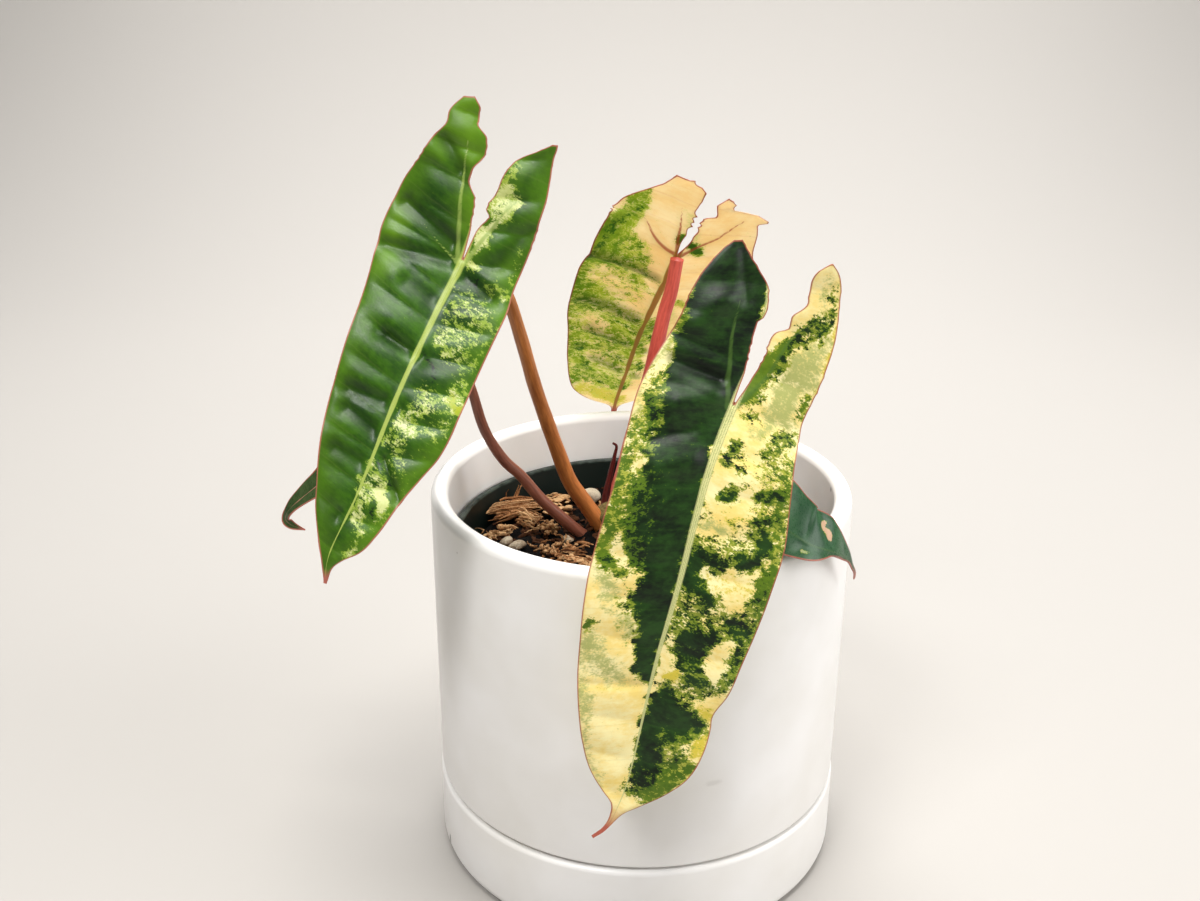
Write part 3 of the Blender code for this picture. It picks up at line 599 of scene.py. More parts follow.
@dataclass(frozen=True)
class LeafBlade:
    """One leaf blade. Stations run along its spine from the sinus, below zero between the basal lobes.

    The plus half lies on the side of tangent x face. Widths are measured square to the spine.
    """

    name: str
    slot: str
    skin: LeafSkin
    spine: tuple[Point, ...]
    sinus_index: int
    face_lobes: Point
    face_tip: Point
    plus_margin: tuple[Pair, ...]
    plus_notch: tuple[Pair, ...]
    minus_margin: tuple[Pair, ...]
    minus_notch: tuple[Pair, ...]
    cup: Pair = (0.20, 0.20)
    droop: float = 70.0
    lobe_curl: Pair = (0.0, 0.0)
    quilt: float = 0.8
    quilt_pitch: float = 11.0
    quilt_slant: float = -0.2
    ruffle: float = 0.8
    keel: float = 1.2
    ground: Tone = Tone.GREEN
    patches: tuple[Patch, ...] = ()
    creases: tuple[Crease, ...] = ()
    ribs: tuple[Rib, ...] = ()
    tip_red: float = 8.0
    fringe: float = 1.0
    torn: float = 0.3
    grain: Pair = (-0.25, -0.25)
    thickness: float = 0.7
    edge_thickness: float = 0.3
    row_step: float = 0.7
    columns: int = 34

    def spine_frames(self) -> tuple[np.ndarray, np.ndarray, np.ndarray, np.ndarray]:
        """Works out where the spine runs and how it is turned.

        Returns:
            Its stations, its dense line, and its side and face directions.
        """
        line = curve_through(self.spine, SPINE_POINTS)
        along = lengths_along(line)
        stations = along - along[self.sinus_index * SPINE_POINTS]
        tangent = unit(np.gradient(line, stations, axis=0))
        share = ((stations - stations[0]) / (stations[-1] - stations[0]))[:, None]
        face = (1 - share) * np.array(self.face_lobes) + share * np.array(self.face_tip)
        side = unit(np.cross(tangent, face))
        return stations, line, side, np.cross(side, tangent)

    def end(self) -> float:
        """Returns the station of the tip."""
        return float(self.spine_frames()[0][-1])

    def rise(self, s: np.ndarray, o: np.ndarray, half: int, end: float) -> np.ndarray:
        """Works out the height of the surface over the ribbon of the spine.

        Args:
            s: Stations.
            o: Offsets outwards, at or above 0.
            half: 1 or -1.
            end: The station of the tip.

        Returns:
            The height from cup, droop, quilting, ruffle, lobe curl and creases.
        """
        margin = smooth_through(self.plus_margin if half > 0 else self.minus_margin, s)
        across = np.clip(o / np.maximum(margin, 1.0), 0, 1)
        fade = np.clip((end - s) / 25.0, 0, 1)
        puff = np.abs(np.sin(math.pi * (s - self.quilt_slant * o) / self.quilt_pitch)) - 0.6
        quilt = self.quilt * puff * np.sin(math.pi * np.clip(across, 0, 0.97)) * fade
        ruffle = self.ruffle * across**3 * np.sin(2 * math.pi * s / 34.0 + 1.3 * half) * fade
        curl = self.lobe_curl[0 if half > 0 else 1] * (np.clip(-s, 0, None) / 40.0) ** 2
        cup = self.cup[0 if half > 0 else 1]
        found = cup * o - o * o / (2 * self.droop) + quilt + ruffle + curl
        return found - self.hollow(s, half * o)

    def hollow(self, s: np.ndarray, u: np.ndarray) -> np.ndarray:
        """Returns how far the creases lower the surface at leaf places, fading out at the stiff midrib."""
        drops = sum((crease.drop(s, u) for crease in self.creases), np.zeros(len(s)))
        return drops * (1 - np.exp(-((u / 2.2) ** 2)))

    def point(self, s: np.ndarray, o: np.ndarray, half: int, frames: tuple) -> np.ndarray:
        """Places leaf coordinates in space.

        Args:
            s: Stations.
            o: Offsets outwards.
            half: 1 or -1.
            frames: What spine_frames gave.

        Returns:
            One row of millimetres for each.
        """
        stations, line, side, normal = frames
        middle, outwards, upwards = (read_along(s, stations, rows) for rows in (line, side, normal))
        height = self.rise(s, o, half, stations[-1])
        return middle + half * outwards * o[:, None] + upwards * height[:, None]

    def face_normals(self, s: np.ndarray, o: np.ndarray, half: int, frames: tuple) -> np.ndarray:
        """Works out the directions square to the upper face.

        Args:
            s: Stations.
            o: Offsets outwards.
            half: 1 or -1.
            frames: What spine_frames gave.

        Returns:
            One row for each place, the spine's own on the midrib.
        """
        step = 0.05
        along = self.point(s + step, o, half, frames) - self.point(s - step, o, half, frames)
        across = self.point(s, o + step, half, frames) - self.point(s, o - step, half, frames)
        found = unit(half * np.cross(across, along))
        on_midrib = o <= 0
        found[on_midrib] = read_along(s, frames[0], frames[3])[on_midrib]
        return found

    def tissue(self, s: np.ndarray, u: np.ndarray) -> np.ndarray:
        """Lays the patches over the ground tissue.

        Args:
            s: Stations.
            u: Signed offsets.

        Returns:
            How far yellow, mint, green, lime and dark green cover the cream, one row for each place.
        """
        waver_s = 0.5 * np.sin(u / 1.3 + 0.7 * np.sin(s / 2.1)) + 0.4 * np.sin(u / 0.7 + s / 1.7)
        waver_u = 0.5 * np.sin(s / 1.4 + 0.8 * np.sin(u / 1.9)) + 0.4 * np.sin(s / 0.8 - u / 2.3)
        cover = np.tile(np.array(self.ground.value), (len(s), 1))
        for patch in self.patches:
            mask = patch.mask(s + waver_s, u + waver_u)[:, None]
            cover = cover * (1 - mask) + patch.cover() * mask
        cover[:, 2] = cover[:, 2] ** self.fringe
        return cover

    def tear(self, line: np.ndarray) -> np.ndarray:
        """Returns how far the nibbled edge of a basal lobe lies inside its outline."""
        bites = np.abs(np.sin(line / 1.7 + 1.4 * np.sin(line / 3.3))) ** 0.6
        return self.torn * (bites * (0.6 + 0.4 * np.sin(line / 4.7)) - 0.4)

    def build(self) -> bpy.types.Object:
        """Builds the blade: two faces a leaf's thickness apart, thinning to a rounded edge.

        Returns:
            The piece, with the leaf's place, tissues, marks and ribs as point attributes.
        """
        frames = self.spine_frames()
        end = frames[0][-1]
        # Columns lie closer together near the margin, where the edge rounds off.
        shares = np.concatenate([np.linspace(0, 0.95, self.columns - 3), [0.97, 0.985, 1.0]])
        places, normals, info, faces = [], [], [], []
        midrib: list[int] = []
        count = 0
        for half in (1, -1):
            margin = self.plus_margin if half > 0 else self.minus_margin
            notch = self.plus_notch if half > 0 else self.minus_notch
            top = margin[0][0]
            lobe = np.linspace(top, 0, max(8, round(-top / self.row_step)), endpoint=False)
            stations = np.concatenate([lobe, np.linspace(0, end, max(20, round(end / self.row_step)) + 1)])
            # The lobes' edges are torn from 6 mm above the sinus, and fully from 12 mm.
            frayed = np.clip((-6 - stations) / 6, 0, 1)
            inner = np.where(stations < 0, smooth_through(notch, stations), 0.0)
            inner = inner + frayed * self.tear(1.3 * stations + 2)
            outer = smooth_through(margin, stations) - 0.6 * frayed * self.tear(stations + 7 * half)
            s = np.repeat(stations, len(shares))
            o = (inner[:, None] + (outer - inner)[:, None] * shares[None, :]).ravel()
            from_edge = np.minimum(1 - shares, np.where(stations[:, None] < 0, shares, 9))
            edge = np.minimum((outer - inner)[:, None] * from_edge, (stations - top)[:, None]).ravel()
            s = s + 1.3 * self.tear(o + 3 * half) * np.clip((top + 7 - s) / 7, 0, 1)
            index = np.arange(len(s)).reshape(len(stations), -1) + count
            keep = np.ones(len(s), bool)
            if half < 0:
                # Below the sinus both halves share the midrib's vertices.
                shared = np.zeros((len(stations), len(shares)), bool)
                shared[len(lobe) :, 0] = True
                keep = ~shared.ravel()
                index = np.full(len(s), -1)
                index[keep] = np.arange(keep.sum()) + count
                index[shared.ravel()] = midrib
                index = index.reshape(len(stations), -1)
            else:
                midrib = index[len(lobe) :, 0].tolist()
            places.append(self.point(s, o, half, frames)[keep])
            normals.append(self.face_normals(s, o, half, frames)[keep])
            info.append(np.stack([s, half * o, edge], -1)[keep])
            count += int(keep.sum())
            a, b, c, d = index[:-1, :-1], index[:-1, 1:], index[1:, 1:], index[1:, :-1]
            order = (a, b, c, d) if half > 0 else (a, d, c, b)
            faces.append(np.stack([part.ravel() for part in order], -1))
        return self.close(np.vstack(places), np.vstack(normals), np.vstack(info), np.vstack(faces), end)

    def close(
        self, places: np.ndarray, normals: np.ndarray, info: np.ndarray, faces: np.ndarray, end: float
    ) -> bpy.types.Object:
        """Gives the middle surface its thickness and its attributes.

        Args:
            places: The middle surface's vertices.
            normals: Its upward directions.
            info: Station, signed offset and distance from the edge of each vertex.
            faces: Its quads.
            end: The station of the tip.

        Returns:
            The closed piece.
        """
        s, u, edge = info.T
        half = (self.edge_thickness + (self.thickness - self.edge_thickness) * np.clip(edge / 1.6, 0, 1)) / 2
        rib = np.full(len(s), FAR_FROM_RIBS)
        for vein in self.ribs:
            rib = np.minimum(rib, vein.ratio(s, u))
        # Midrib and lobe ribs stand out below and lie as a low ridge above.
        keel = self.keel * np.clip(1 - s / end, 0, 1) * np.exp(-((u / 1.7) ** 2)) * (s > -1)
        ridge = 0.3 * np.exp(-((u / 0.9) ** 2)) * (s > 0) * np.clip(1 - s / end, 0, 1)
        keel = np.maximum(keel, 0.5 * np.exp(-((rib / 1.3) ** 2)))
        ridge = np.maximum(ridge, 0.14 * np.exp(-((rib / 1.2) ** 2)))
        upper = places + normals * (half + ridge)[:, None]
        lower = places - normals * (half + keel)[:, None]
        edges = np.concatenate([faces[:, [0, 1]], faces[:, [1, 2]], faces[:, [2, 3]], faces[:, [3, 0]]])
        known = set(map(tuple, edges.tolist()))
        rim = [(a, b) for a, b in edges.tolist() if (b, a) not in known]
        count = len(places)
        solid = faces.tolist() + (faces[:, ::-1] + count).tolist()
        solid += [(b, a, a + count, b + count) for a, b in rim]
        piece = mesh_object(self.name.replace("blade", "leaf"), np.vstack([upper, lower]), solid)
        cover = self.tissue(s, u)
        tip = np.clip((s - end + self.tip_red) / (0.6 * self.tip_red), 0, 1)
        # The creases' depth, carried for the skin's painted shade in the hollows.
        hollow = self.hollow(s, u)
        for name, columns in (
            ("leaf_place", (s, u, edge)),
            ("leaf_tones", (cover[:, 0], cover[:, 1], cover[:, 2])),
            ("leaf_marks", (cover[:, 3], cover[:, 4], tip)),
            ("leaf_veins", (rib, 0 * rib, hollow)),
        ):
            rows = np.tile(np.stack(columns, -1), (2, 1))
            if name == "leaf_veins":
                rows[count:, 1] = 1.0
            store(piece, name, rows)
        piece.data.set_sharp_from_angle(angle=math.radians(55))
        return piece

    def dress(self, piece: bpy.types.Object) -> None:
        """Gives the blade its skin and its place in the frame."""
        finish = self.skin.material(self.quilt_pitch, self.grain, self.end())
        dress(piece, finish, self.slot, self.name)


GREEN_SKIN = LeafSkin(
    name="waxy_leaf_green_with_cream",
    midrib="#AEBE5C",
    midrib_half_width=1.2,
    cream="#DCE0A0",
    cream_deep="#C3CC74",
    yellow="#A6B02A",
    lime="#6E9A1C",
    vein_strength=0.05,
    blend=0.12,
    gloss=0.35,
)
CREAM_SKIN = LeafSkin(
    name="waxy_leaf_cream_and_dark_green",
    cream="#FDF1B4",
    cream_deep="#F4D97E",
    yellow="#D9C646",
    mint="#B3B66C",
    margin="#A65848",
    half_green="#A8AC40",
    green="#627D1C",
    green_deep="#395810",
    dark="#234414",
    dark_deep="#061405",
    midrib="#D6D594",
    midrib_line="#74873E",
    rib="#4E6E2C",
    rib_strength=0.6,
    margin_lime=0.15,
    blend=0.06,
    vein_strength=0.05,
    midrib_half_width=1.45,
    midrib_taper=0.85,
    midrib_end=0.12,
    midrib_lines=0.85,
    gloss=0.42,
    specular=0.4,
)
BELOW_SKIN = LeafSkin(
    name="matt_leaf_underside_cream",
    cream="#FDF0CC",
    cream_deep="#F8E2B0",
    mint="#E0E0A2",
    half_green="#DADD7C",
    green="#B6C944",
    green_deep="#78A02C",
    dark="#608C2E",
    dark_deep="#427020",
    yellow="#DDD665",
    midrib_below="#A86E42",
    midrib_half_width=1.35,
    midrib_end=0.5,
    vein_strength=0.07,
    blend=0.09,
    light_through=0.55,
    specular=0.3,
)
DARK_SKIN = LeafSkin(
    name="waxy_leaf_dark_green",
    midrib="#3F6238",
    midrib_line="#365632",
    rib="#3F6238",
    dark="#3C6440",
    dark_deep="#22482A",
    cream="#D9B898",
    cream_deep="#C49A78",
    mint="#A9B07A",
    vein_strength=0.04,
    midrib_half_width=0.7,
)
FOLDED_SKIN = replace(
    DARK_SKIN, name="waxy_leaf_dark_green_folded", midrib="#B9826E", dark="#45582F", dark_deep="#2B401E"
)

LEAVES = (
    LeafBlade(
        name="blade_left",
        slot="leaf_green",
        torn=0.5,
        grain=(-0.3, 0.15),
        tip_red=5.0,
        skin=GREEN_SKIN,
        spine=(
            (-46, -34, 290), (-49, -36, 269), (-54, -38, 253), (-59, -41, 239), (-67, -49, 224),
            (-78, -61, 202), (-90, -73, 174), (-99, -79, 156), (-101, -81, 146),
        ),
        sinus_index=3,
        face_lobes=(-0.10, -0.92, 0.36),
        face_tip=(-0.10, -0.92, 0.36),
        plus_margin=(
            (-51, 12), (-46.5, 15.8), (-42, 16.5), (-38, 19.7), (-26, 23.8), (-15, 27), (-4, 28.4), (5, 27.6),
            (15, 25.4), (28, 23.1), (44, 21.1), (56, 19.6), (70, 16.7), (81, 13.5), (88, 11), (98, 4.8),
            (103, 2), (110, 0.5),
        ),
        plus_notch=(
            (-51, 8.5), (-48, 6.2), (-43.5, 6.3), (-39, 2.7), (-34, 2.9), (-29, 5.6), (-25, 5.8), (-20, 2.2),
            (-12, 1.0), (0, 0),
        ),
        minus_margin=(
            (-40.5, 19.6), (-35, 18.7), (-25, 19.7), (-15, 20), (0, 19), (10, 20.6), (30, 20.7), (50, 21.1),
            (60, 19.9), (68, 17), (77, 14), (88, 11.6), (96, 8.9), (102, 4.1), (105, 2), (110, 0.5),
        ),
        minus_notch=(
            (-40.5, 17.5), (-38, 13.5), (-35.5, 8.5), (-31, 5), (-25, 3.7), (-18.5, 1.9), (-16, 3.7),
            (-13, 2), (-7, 0.6), (0, 0),
        ),
        quilt=1.3,
        lobe_curl=(-2.0, -1.0),
        patches=strokes(
            Patch,
            (9.9, -7.8, 26.1, -9.6, 5.5, CREAM, GREEN, 0.62),
            (4.5, -13.8, 23.7, -18.0, 3.6, YELLOW, GREEN, 0.6),
            (42.3, -9.0, 59.1, -6.0, 4.1, CREAM, GREEN, 0.62),
            (28.5, -15.6, 51.9, -16.8, 2.8, YELLOW, GREEN, 0.65),
            (63.3, -6.6, 72.9, -13.8, 3.4, CREAM, GREEN, 0.63),
            (72.3, -2.4, 89.7, -8.4, 4.3, CREAM, GREEN, 0.55), (-49.8, 11.6, -34.2, 7.6, 4.6, LIME),
            (-43.2, 16.5, -32.4, 16.9, 2.6, LIME, GREEN, 0.35), (-10.8, 24.9, 10.8, 22.2, 3.0, LIME),
            (-31.5, -6.4, -34.5, -8.5, 2.1, LIME), (-0.3, -15.6, 20.1, -18.6, 4.5, LIME, GREEN, 0.35),
            (-19.2, 3.7, -12.0, 1.6, 1.5, LIME), (-30.9, -7.4, -19.5, -3.8, 2.5, YELLOW, GREEN, 0.35),
            (-25.5, -6.2, -23.1, -5.5, 0.9, CREAM), (-11.7, -1.5, -8.7, -4.5, 1.9, CREAM),
            (-23.7, -11.1, -14.7, -6.1, 1.3, CREAM), (-22.5, -9.5, -20.7, -9.5, 1.3, MINT),
            (-13.5, -5.9, -2.1, -1.3, 0.8, CREAM), (-0.3, -2.4, 0.3, -4.8, 1.1, CREAM),
            (3.9, -4.2, 5.7, -12.0, 1.3, DARK, GREEN, 0.35),
            (3.3, -11.4, 5.1, -17.4, 2.2, YELLOW, GREEN, 0.51),
            (-9.3, -17.2, 2.7, -17.4, 1.2, YELLOW, GREEN, 0.47),
            (9.3, -1.8, 11.1, -5.4, 1.3, CREAM, GREEN, 0.59),
            (15.3, -3.6, 11.7, -13.8, 2.6, CREAM, GREEN, 0.51),
            (21.9, -4.8, 21.3, -12.6, 3.5, CREAM, GREEN, 0.51),
            (15.3, -13.2, 15.3, -19.8, 2.6, YELLOW, GREEN, 0.47),
            (21.3, -15.0, 21.3, -19.8, 1.9, YELLOW, GREEN, 0.55),
            (27.3, -4.8, 30.3, -8.4, 1.6, CREAM, GREEN, 0.32),
            (26.7, -12.0, 28.5, -14.4, 1.6, YELLOW, GREEN, 0.39),
            (30.3, -3.0, 36.9, -8.4, 1.6, DARK, GREEN, 0.43),
            (27.9, -16.8, 32.1, -19.8, 1.2, YELLOW, GREEN, 0.59),
            (44.1, -7.8, 45.3, -10.8, 1.9, CREAM, GREEN, 0.47),
            (50.7, -5.4, 46.5, -12.0, 1.9, CREAM, GREEN, 0.43),
            (41.7, -16.8, 43.5, -19.8, 2.5, YELLOW, GREEN, 0.2),
            (35.7, -17.4, 39.3, -20.4, 1.3, YELLOW, GREEN, 0.43),
            (48.9, -18.6, 52.5, -18.6, 1.3, YELLOW, GREEN, 0.51),
            (54.3, -2.4, 56.1, -9.0, 1.9, CREAM, GREEN, 0.28),
            (60.9, -2.4, 61.5, -6.6, 1.9, CREAM, GREEN, 0.43),
            (53.7, -13.2, 56.1, -16.2, 1.6, YELLOW, GREEN, 0.39),
            (60.9, -15.0, 61.5, -16.8, 0.9, YELLOW, GREEN, 0.43),
            (65.7, -5.4, 71.7, -10.2, 1.5, CREAM, GREEN, 0.59),
            (68.1, -9.6, 67.5, -13.8, 1.6, MINT, GREEN, 0.55),
            (69.3, -2.4, 77.7, -9.0, 2.5, CREAM, GREEN, 0.32),
            (76.5, -0.6, 84.9, -2.4, 2.2, CREAM, GREEN, 0.39), (77.1, -7.8, 81.3, -10.2, 2.1, CREAM),
            (72.3, -10.8, 74.7, -13.2, 1.2, CREAM, GREEN, 0.51),
            (85.5, -3.0, 92.1, -7.2, 1.3, CREAM, GREEN, 0.28),
            (84.9, -9.6, 87.3, -12.0, 1.8, CREAM, YELLOW, 0.4),
            (80.1, -12.6, 90.3, -10.8, 1.2, YELLOW, GREEN, 0.35), (99.9, -4.8, 95.1, -7.8, 1.0, CREAM),
            (66.9, -2.4, 76.5, -11.4, 0.6, DARK), (82.5, -6.0, 87.3, -9.0, 0.9, DARK, GREEN, 0.35),
            (75.9, -13.8, 94.5, -9.0, 0.9, LIME), (57.9, -19.2, 73.5, -12.0, 1.2, LIME, GREEN, 0.35),
        ),
        creases=strokes(
            Crease,
            (-37.2, 17.0, -27.6, 9.4, 1.7, 2.6), (-12.0, 23.2, -4.8, 5.2, 2.5, 3.0),
            (4.8, 24.6, 1.2, 3.0, 2.0, 3.0), (13.2, 12.6, 15.0, 0.6, 1.2, 2.9),
            (31.2, 11.4, 32.7, -0.6, 1.9, 2.7), (49.8, 15.0, 50.1, -1.2, 2.0, 2.8),
            (56.4, 13.2, 60.3, -0.0, 2.0, 2.8), (69.0, 12.0, 70.8, 1.2, 1.9, 2.8),
            (89.4, 2.4, 85.5, -0.6, 1.2, 2.4), (3.9, -2.4, 6.3, -13.2, 1.7, 2.4),
            (66.9, -3.6, 76.5, -12.6, 1.4, 1.4), (-3.9, -11.1, -16.5, -17.9, 1.1, 2.8),
        ),
        ribs=(
            Rib(((0.6, 1.2), (-6.0, 3.4), (-13.8, 5.3), (-21.0, 7.1), (-31.2, 8.6), (-37.8, 8.7))),
            Rib(((0.9, -0.6), (-7.5, -3.7), (-14.7, -6.7), (-18.3, -7.9), (-23.7, -11.1))),
            Rib(((0.6, 1.8), (-3.0, 9.2), (-7.8, 16.8)), 0.4),
        ),
    ),
    LeafBlade(
        name="blade_front",
        slot="leaf_cream_and_green",
        torn=0.5,
        fringe=0.85,
        grain=(0.25, 0.1),
        skin=CREAM_SKIN,
        ground=Tone.CREAM,
        spine=(
            (37, -62, 253), (36, -64, 233), (32, -67, 217), (25, -72, 202), (17, -81, 182), (9, -89, 150),
            (2, -93, 123), (-5, -97, 88), (-9.2, -99, 75), (-12.6, -101, 69.3), (-17, -103, 67),
        ),
        sinus_index=3,
        face_lobes=(0.05, -0.95, 0.30),
        face_tip=(0.05, -0.95, 0.30),
        plus_margin=(
            (-51.5, 12), (-48, 16.1), (-42, 21), (-38, 23), (-33, 24.6), (-24, 25.6), (-10, 27.0), (5, 28.8),
            (18, 27.4), (30, 26.8), (40, 27.3), (58, 27.7), (70, 26.7), (82, 24.6), (94, 22.6), (106, 19.7),
            (114, 17.2), (124, 12.6), (131, 6.4), (134, 2.6), (138, 1.2), (147, 0.5),
        ),
        plus_notch=(
            (-51.5, 9.5), (-44, 4.6), (-37, 0.6), (-28.5, 1.2), (-27, 2.6), (-18, 2.1), (-11, 1.2), (0, 0),
        ),
        minus_margin=(
            (-46.4, 16.4), (-44.2, 18.3), (-41.4, 19.6), (-35.5, 20.3), (-28, 21.2), (-17, 21.5), (-5, 21.7),
            (4, 23.4), (13, 25), (22, 26.8), (36, 29.1), (42, 29.4), (49, 28.7), (67, 27.6), (78, 26.2),
            (90, 24.6), (99, 21.6), (103, 22), (111, 21.3), (119.5, 18.4), (126, 13), (132, 6.4),
            (136.5, 2.4), (140, 1), (147, 0.5),
        ),
        minus_notch=(
            (-46.4, 15.7), (-43.5, 11.5), (-40, 10.2), (-35, 10.3), (-30.5, 6.6), (-27.6, 6.8), (-25.5, 3.3),
            (-18, 2.1), (-9, 1.4), (0, 0),
        ),
        cup=(0.15, 0.15),
        droop=80.0,
        quilt=0.7,
        quilt_pitch=13.0,
        quilt_slant=0.0,
        lobe_curl=(-3.0, 3.0),
        tip_red=14.0,
        patches=strokes(
            Patch,
            (-47.3, 11.5, -38.3, 6.8, 5.8, DARK), (-41.3, 15.2, -24.5, 17.6, 7.7, DARK),
            (-32.9, 8.8, -7.1, 4.4, 6.3, DARK), (-20.9, 18.5, -5.3, 13.8, 9.5, DARK),
            (-0.5, 13.9, 9.7, 10.2, 8.9, DARK), (-1.1, 7.3, 3.7, 5.4, 5.2, DARK),
            (11.5, 10.2, 22.3, 7.2, 7.0, DARK), (20.5, 10.8, 33.7, 10.2, 7.7, DARK),
            (31.3, 6.0, 50.5, 6.6, 6.1, DARK), (38.5, 12.0, 63.7, 7.8, 6.6, DARK),
            (56.5, 6.0, 74.5, 4.2, 4.8, DARK), (78.1, 4.8, 87.1, 2.4, 3.2, DARK),
            (8.5, 22.8, 19.9, 19.2, 2.5, DARK, YELLOW, 0.4),
            (-23.9, 24.7, -14.9, 25.7, 1.4, CREAM, GREEN, 0.35),
            (-8.3, 25.5, -0.5, 27.1, 1.9, MINT, GREEN, 0.2), (-4.1, 23.8, -0.5, 24.1, 1.3, CREAM),
            (1.3, 24.6, 10.3, 23.4, 2.7, GREEN, CREAM, 0.5), (7.3, 24.6, 10.3, 22.2, 1.7, DARK, GREEN, 0.2),
            (6.1, 27.6, 14.5, 26.4, 1.4, MINT, CREAM, 0.38),
            (15.1, 25.2, 25.9, 24.6, 2.2, GREEN, MINT, 0.45),
            (26.5, 25.2, 42.7, 24.6, 2.6, GREEN, MINT, 0.4),
            (43.3, 24.6, 52.3, 25.2, 2.5, GREEN, MINT, 0.4),
            (30.7, 17.4, 52.3, 15.6, 4.0, DARK, GREEN, 0.4),
            (24.1, 13.8, 42.1, 12.6, 3.0, DARK, GREEN, 0.2),
            (54.7, 23.4, 58.3, 19.8, 2.9, DARK, GREEN, 0.3), (51.7, 19.2, 54.1, 18.0, 1.9, CREAM),
            (56.5, 13.2, 60.1, 13.8, 1.9, CREAM), (60.7, 22.2, 67.9, 16.8, 3.5, MINT, CREAM, 0.38),
            (67.9, 15.6, 67.3, 10.2, 1.6, DARK, YELLOW, 0.4),
            (70.9, 12.6, 75.7, 10.2, 2.5, MINT, DARK, 0.25), (75.7, 22.8, 78.7, 22.2, 1.2, GREEN),
            (81.1, 22.2, 91.9, 10.2, 4.0, MINT, CREAM, 0.38),
            (96.1, 19.2, 103.3, 16.8, 1.6, MINT, YELLOW, 0.3),
            (94.3, 15.0, 94.3, 7.2, 1.0, YELLOW, CREAM, 0.6),
            (-39.2, -17.4, -29.6, -18.6, 3.3, MINT, CREAM, 0.28),
            (-26.6, -18.0, -11.0, -17.8, 6.2, MINT, CREAM, 0.28),
            (-17.0, -12.8, 1.6, -15.6, 6.1, MINT, CREAM, 0.28), (-31.4, -20.8, -14.6, -21.6, 0.8, YELLOW),
            (-39.2, -18.0, -33.2, -18.0, 1.1, DARK, YELLOW, 0.4),
            (-30.2, -18.0, -27.2, -15.5, 1.4, DARK, MINT, 0.2),
            (-30.8, -14.4, -26.6, -10.2, 1.1, DARK, MINT, 0.2),
            (-26.0, -9.5, -21.2, -8.0, 1.4, DARK, MINT, 0.25),
            (-20.6, -8.0, -13.4, -8.3, 1.1, DARK, MINT, 0.3),
            (-23.6, -11.8, -26.0, -15.5, 1.1, DARK, MINT, 0.55),
            (-15.2, -5.5, -7.4, -4.8, 2.1, DARK, MINT, 0.5), (-21.2, -6.2, -16.4, -3.1, 1.2, GREEN),
            (-15.8, -3.1, -3.8, -1.8, 1.8, GREEN), (-11.6, -19.6, -6.2, -20.2, 1.5, GREEN, YELLOW, 0.35),
            (-2.6, -5.2, -5.6, -7.5, 1.2, DARK, CREAM, 0.55),
            (7.6, -17.4, 39.4, -25.2, 5.4, CREAM, GREEN, 0.3),
            (25.6, -21.6, 39.4, -21.0, 2.9, YELLOW, GREEN, 0.4),
            (11.2, -23.4, 44.2, -27.0, 2.0, GREEN, MINT, 0.4),
            (38.2, -10.8, 64.0, -15.0, 6.2, DARK, YELLOW, 0.74),
            (38.2, -18.6, 62.8, -20.4, 6.2, DARK, CREAM, 0.77),
            (43.6, -3.0, 68.2, -6.0, 4.3, DARK, CREAM, 0.5),
            (47.2, -27.6, 76.0, -26.4, 2.6, GREEN, MINT, 0.42),
            (52.6, -25.2, 72.4, -23.4, 2.6, DARK, MINT, 0.6),
            (71.8, -7.8, 89.8, -12.6, 5.9, DARK, YELLOW, 0.64),
            (74.8, -23.4, 87.4, -22.2, 3.1, DARK, YELLOW, 0.5),
            (91.0, -6.6, 93.4, -13.2, 4.1, DARK, CREAM, 0.6),
            (102.4, -6.6, 124.0, -7.2, 6.0, DARK, MINT, 0.3),
            (101.8, -15.6, 127.0, -10.2, 3.6, GREEN, MINT, 0.48),
            (104.8, -19.2, 119.2, -15.6, 1.6, YELLOW, GREEN, 0.4),
            (3.4, -7.8, 4.0, -12.0, 2.2, MINT, CREAM, 0.4), (1.0, -4.8, 1.0, -7.8, 0.9, DARK, CREAM, 0.2),
            (4.0, -16.2, 2.2, -19.8, 2.5, DARK, CREAM, 0.45),
            (11.2, -4.8, 14.8, -4.2, 1.8, DARK, CREAM, 0.3),
            (11.8, -7.2, 13.6, -9.0, 1.2, DARK, CREAM, 0.5),
            (17.2, -6.0, 17.2, -9.6, 0.9, DARK, CREAM, 0.35),
            (10.6, -13.8, 8.8, -16.8, 1.3, DARK, CREAM, 0.45),
            (17.2, -16.2, 12.4, -22.8, 2.0, MINT, DARK, 0.35),
            (24.4, -7.2, 22.6, -10.8, 1.3, DARK, CREAM, 0.4), (28.0, -6.0, 26.2, -9.0, 1.1, DARK),
            (33.4, -3.6, 36.4, -3.0, 1.2, DARK, CREAM, 0.35),
            (23.8, -18.0, 22.0, -25.2, 2.0, DARK, MINT, 0.2),
            (29.2, -18.0, 26.8, -25.2, 2.3, YELLOW, GREEN, 0.4),
            (32.8, -19.2, 31.0, -25.2, 1.9, DARK, YELLOW, 0.35),
            (22.0, -26.4, 37.6, -28.8, 1.3, YELLOW, GREEN, 0.45),
            (37.0, -3.0, 37.6, -8.4, 2.1, MINT, CREAM, 0.3),
            (52.0, -10.2, 55.6, -21.0, 4.4, YELLOW, CREAM, 0.6),
            (45.4, -22.8, 48.4, -24.0, 2.5, YELLOW, CREAM, 0.5), (38.2, -21.6, 40.6, -23.4, 1.9, DARK),
            (45.4, -16.8, 45.4, -20.4, 2.2, DARK), (46.6, -9.0, 48.4, -10.8, 2.1, DARK, CREAM, 0.1),
            (47.2, -3.0, 55.6, -2.4, 2.2, DARK), (41.8, -4.2, 42.4, -15.0, 2.1, DARK, CREAM, 0.62),
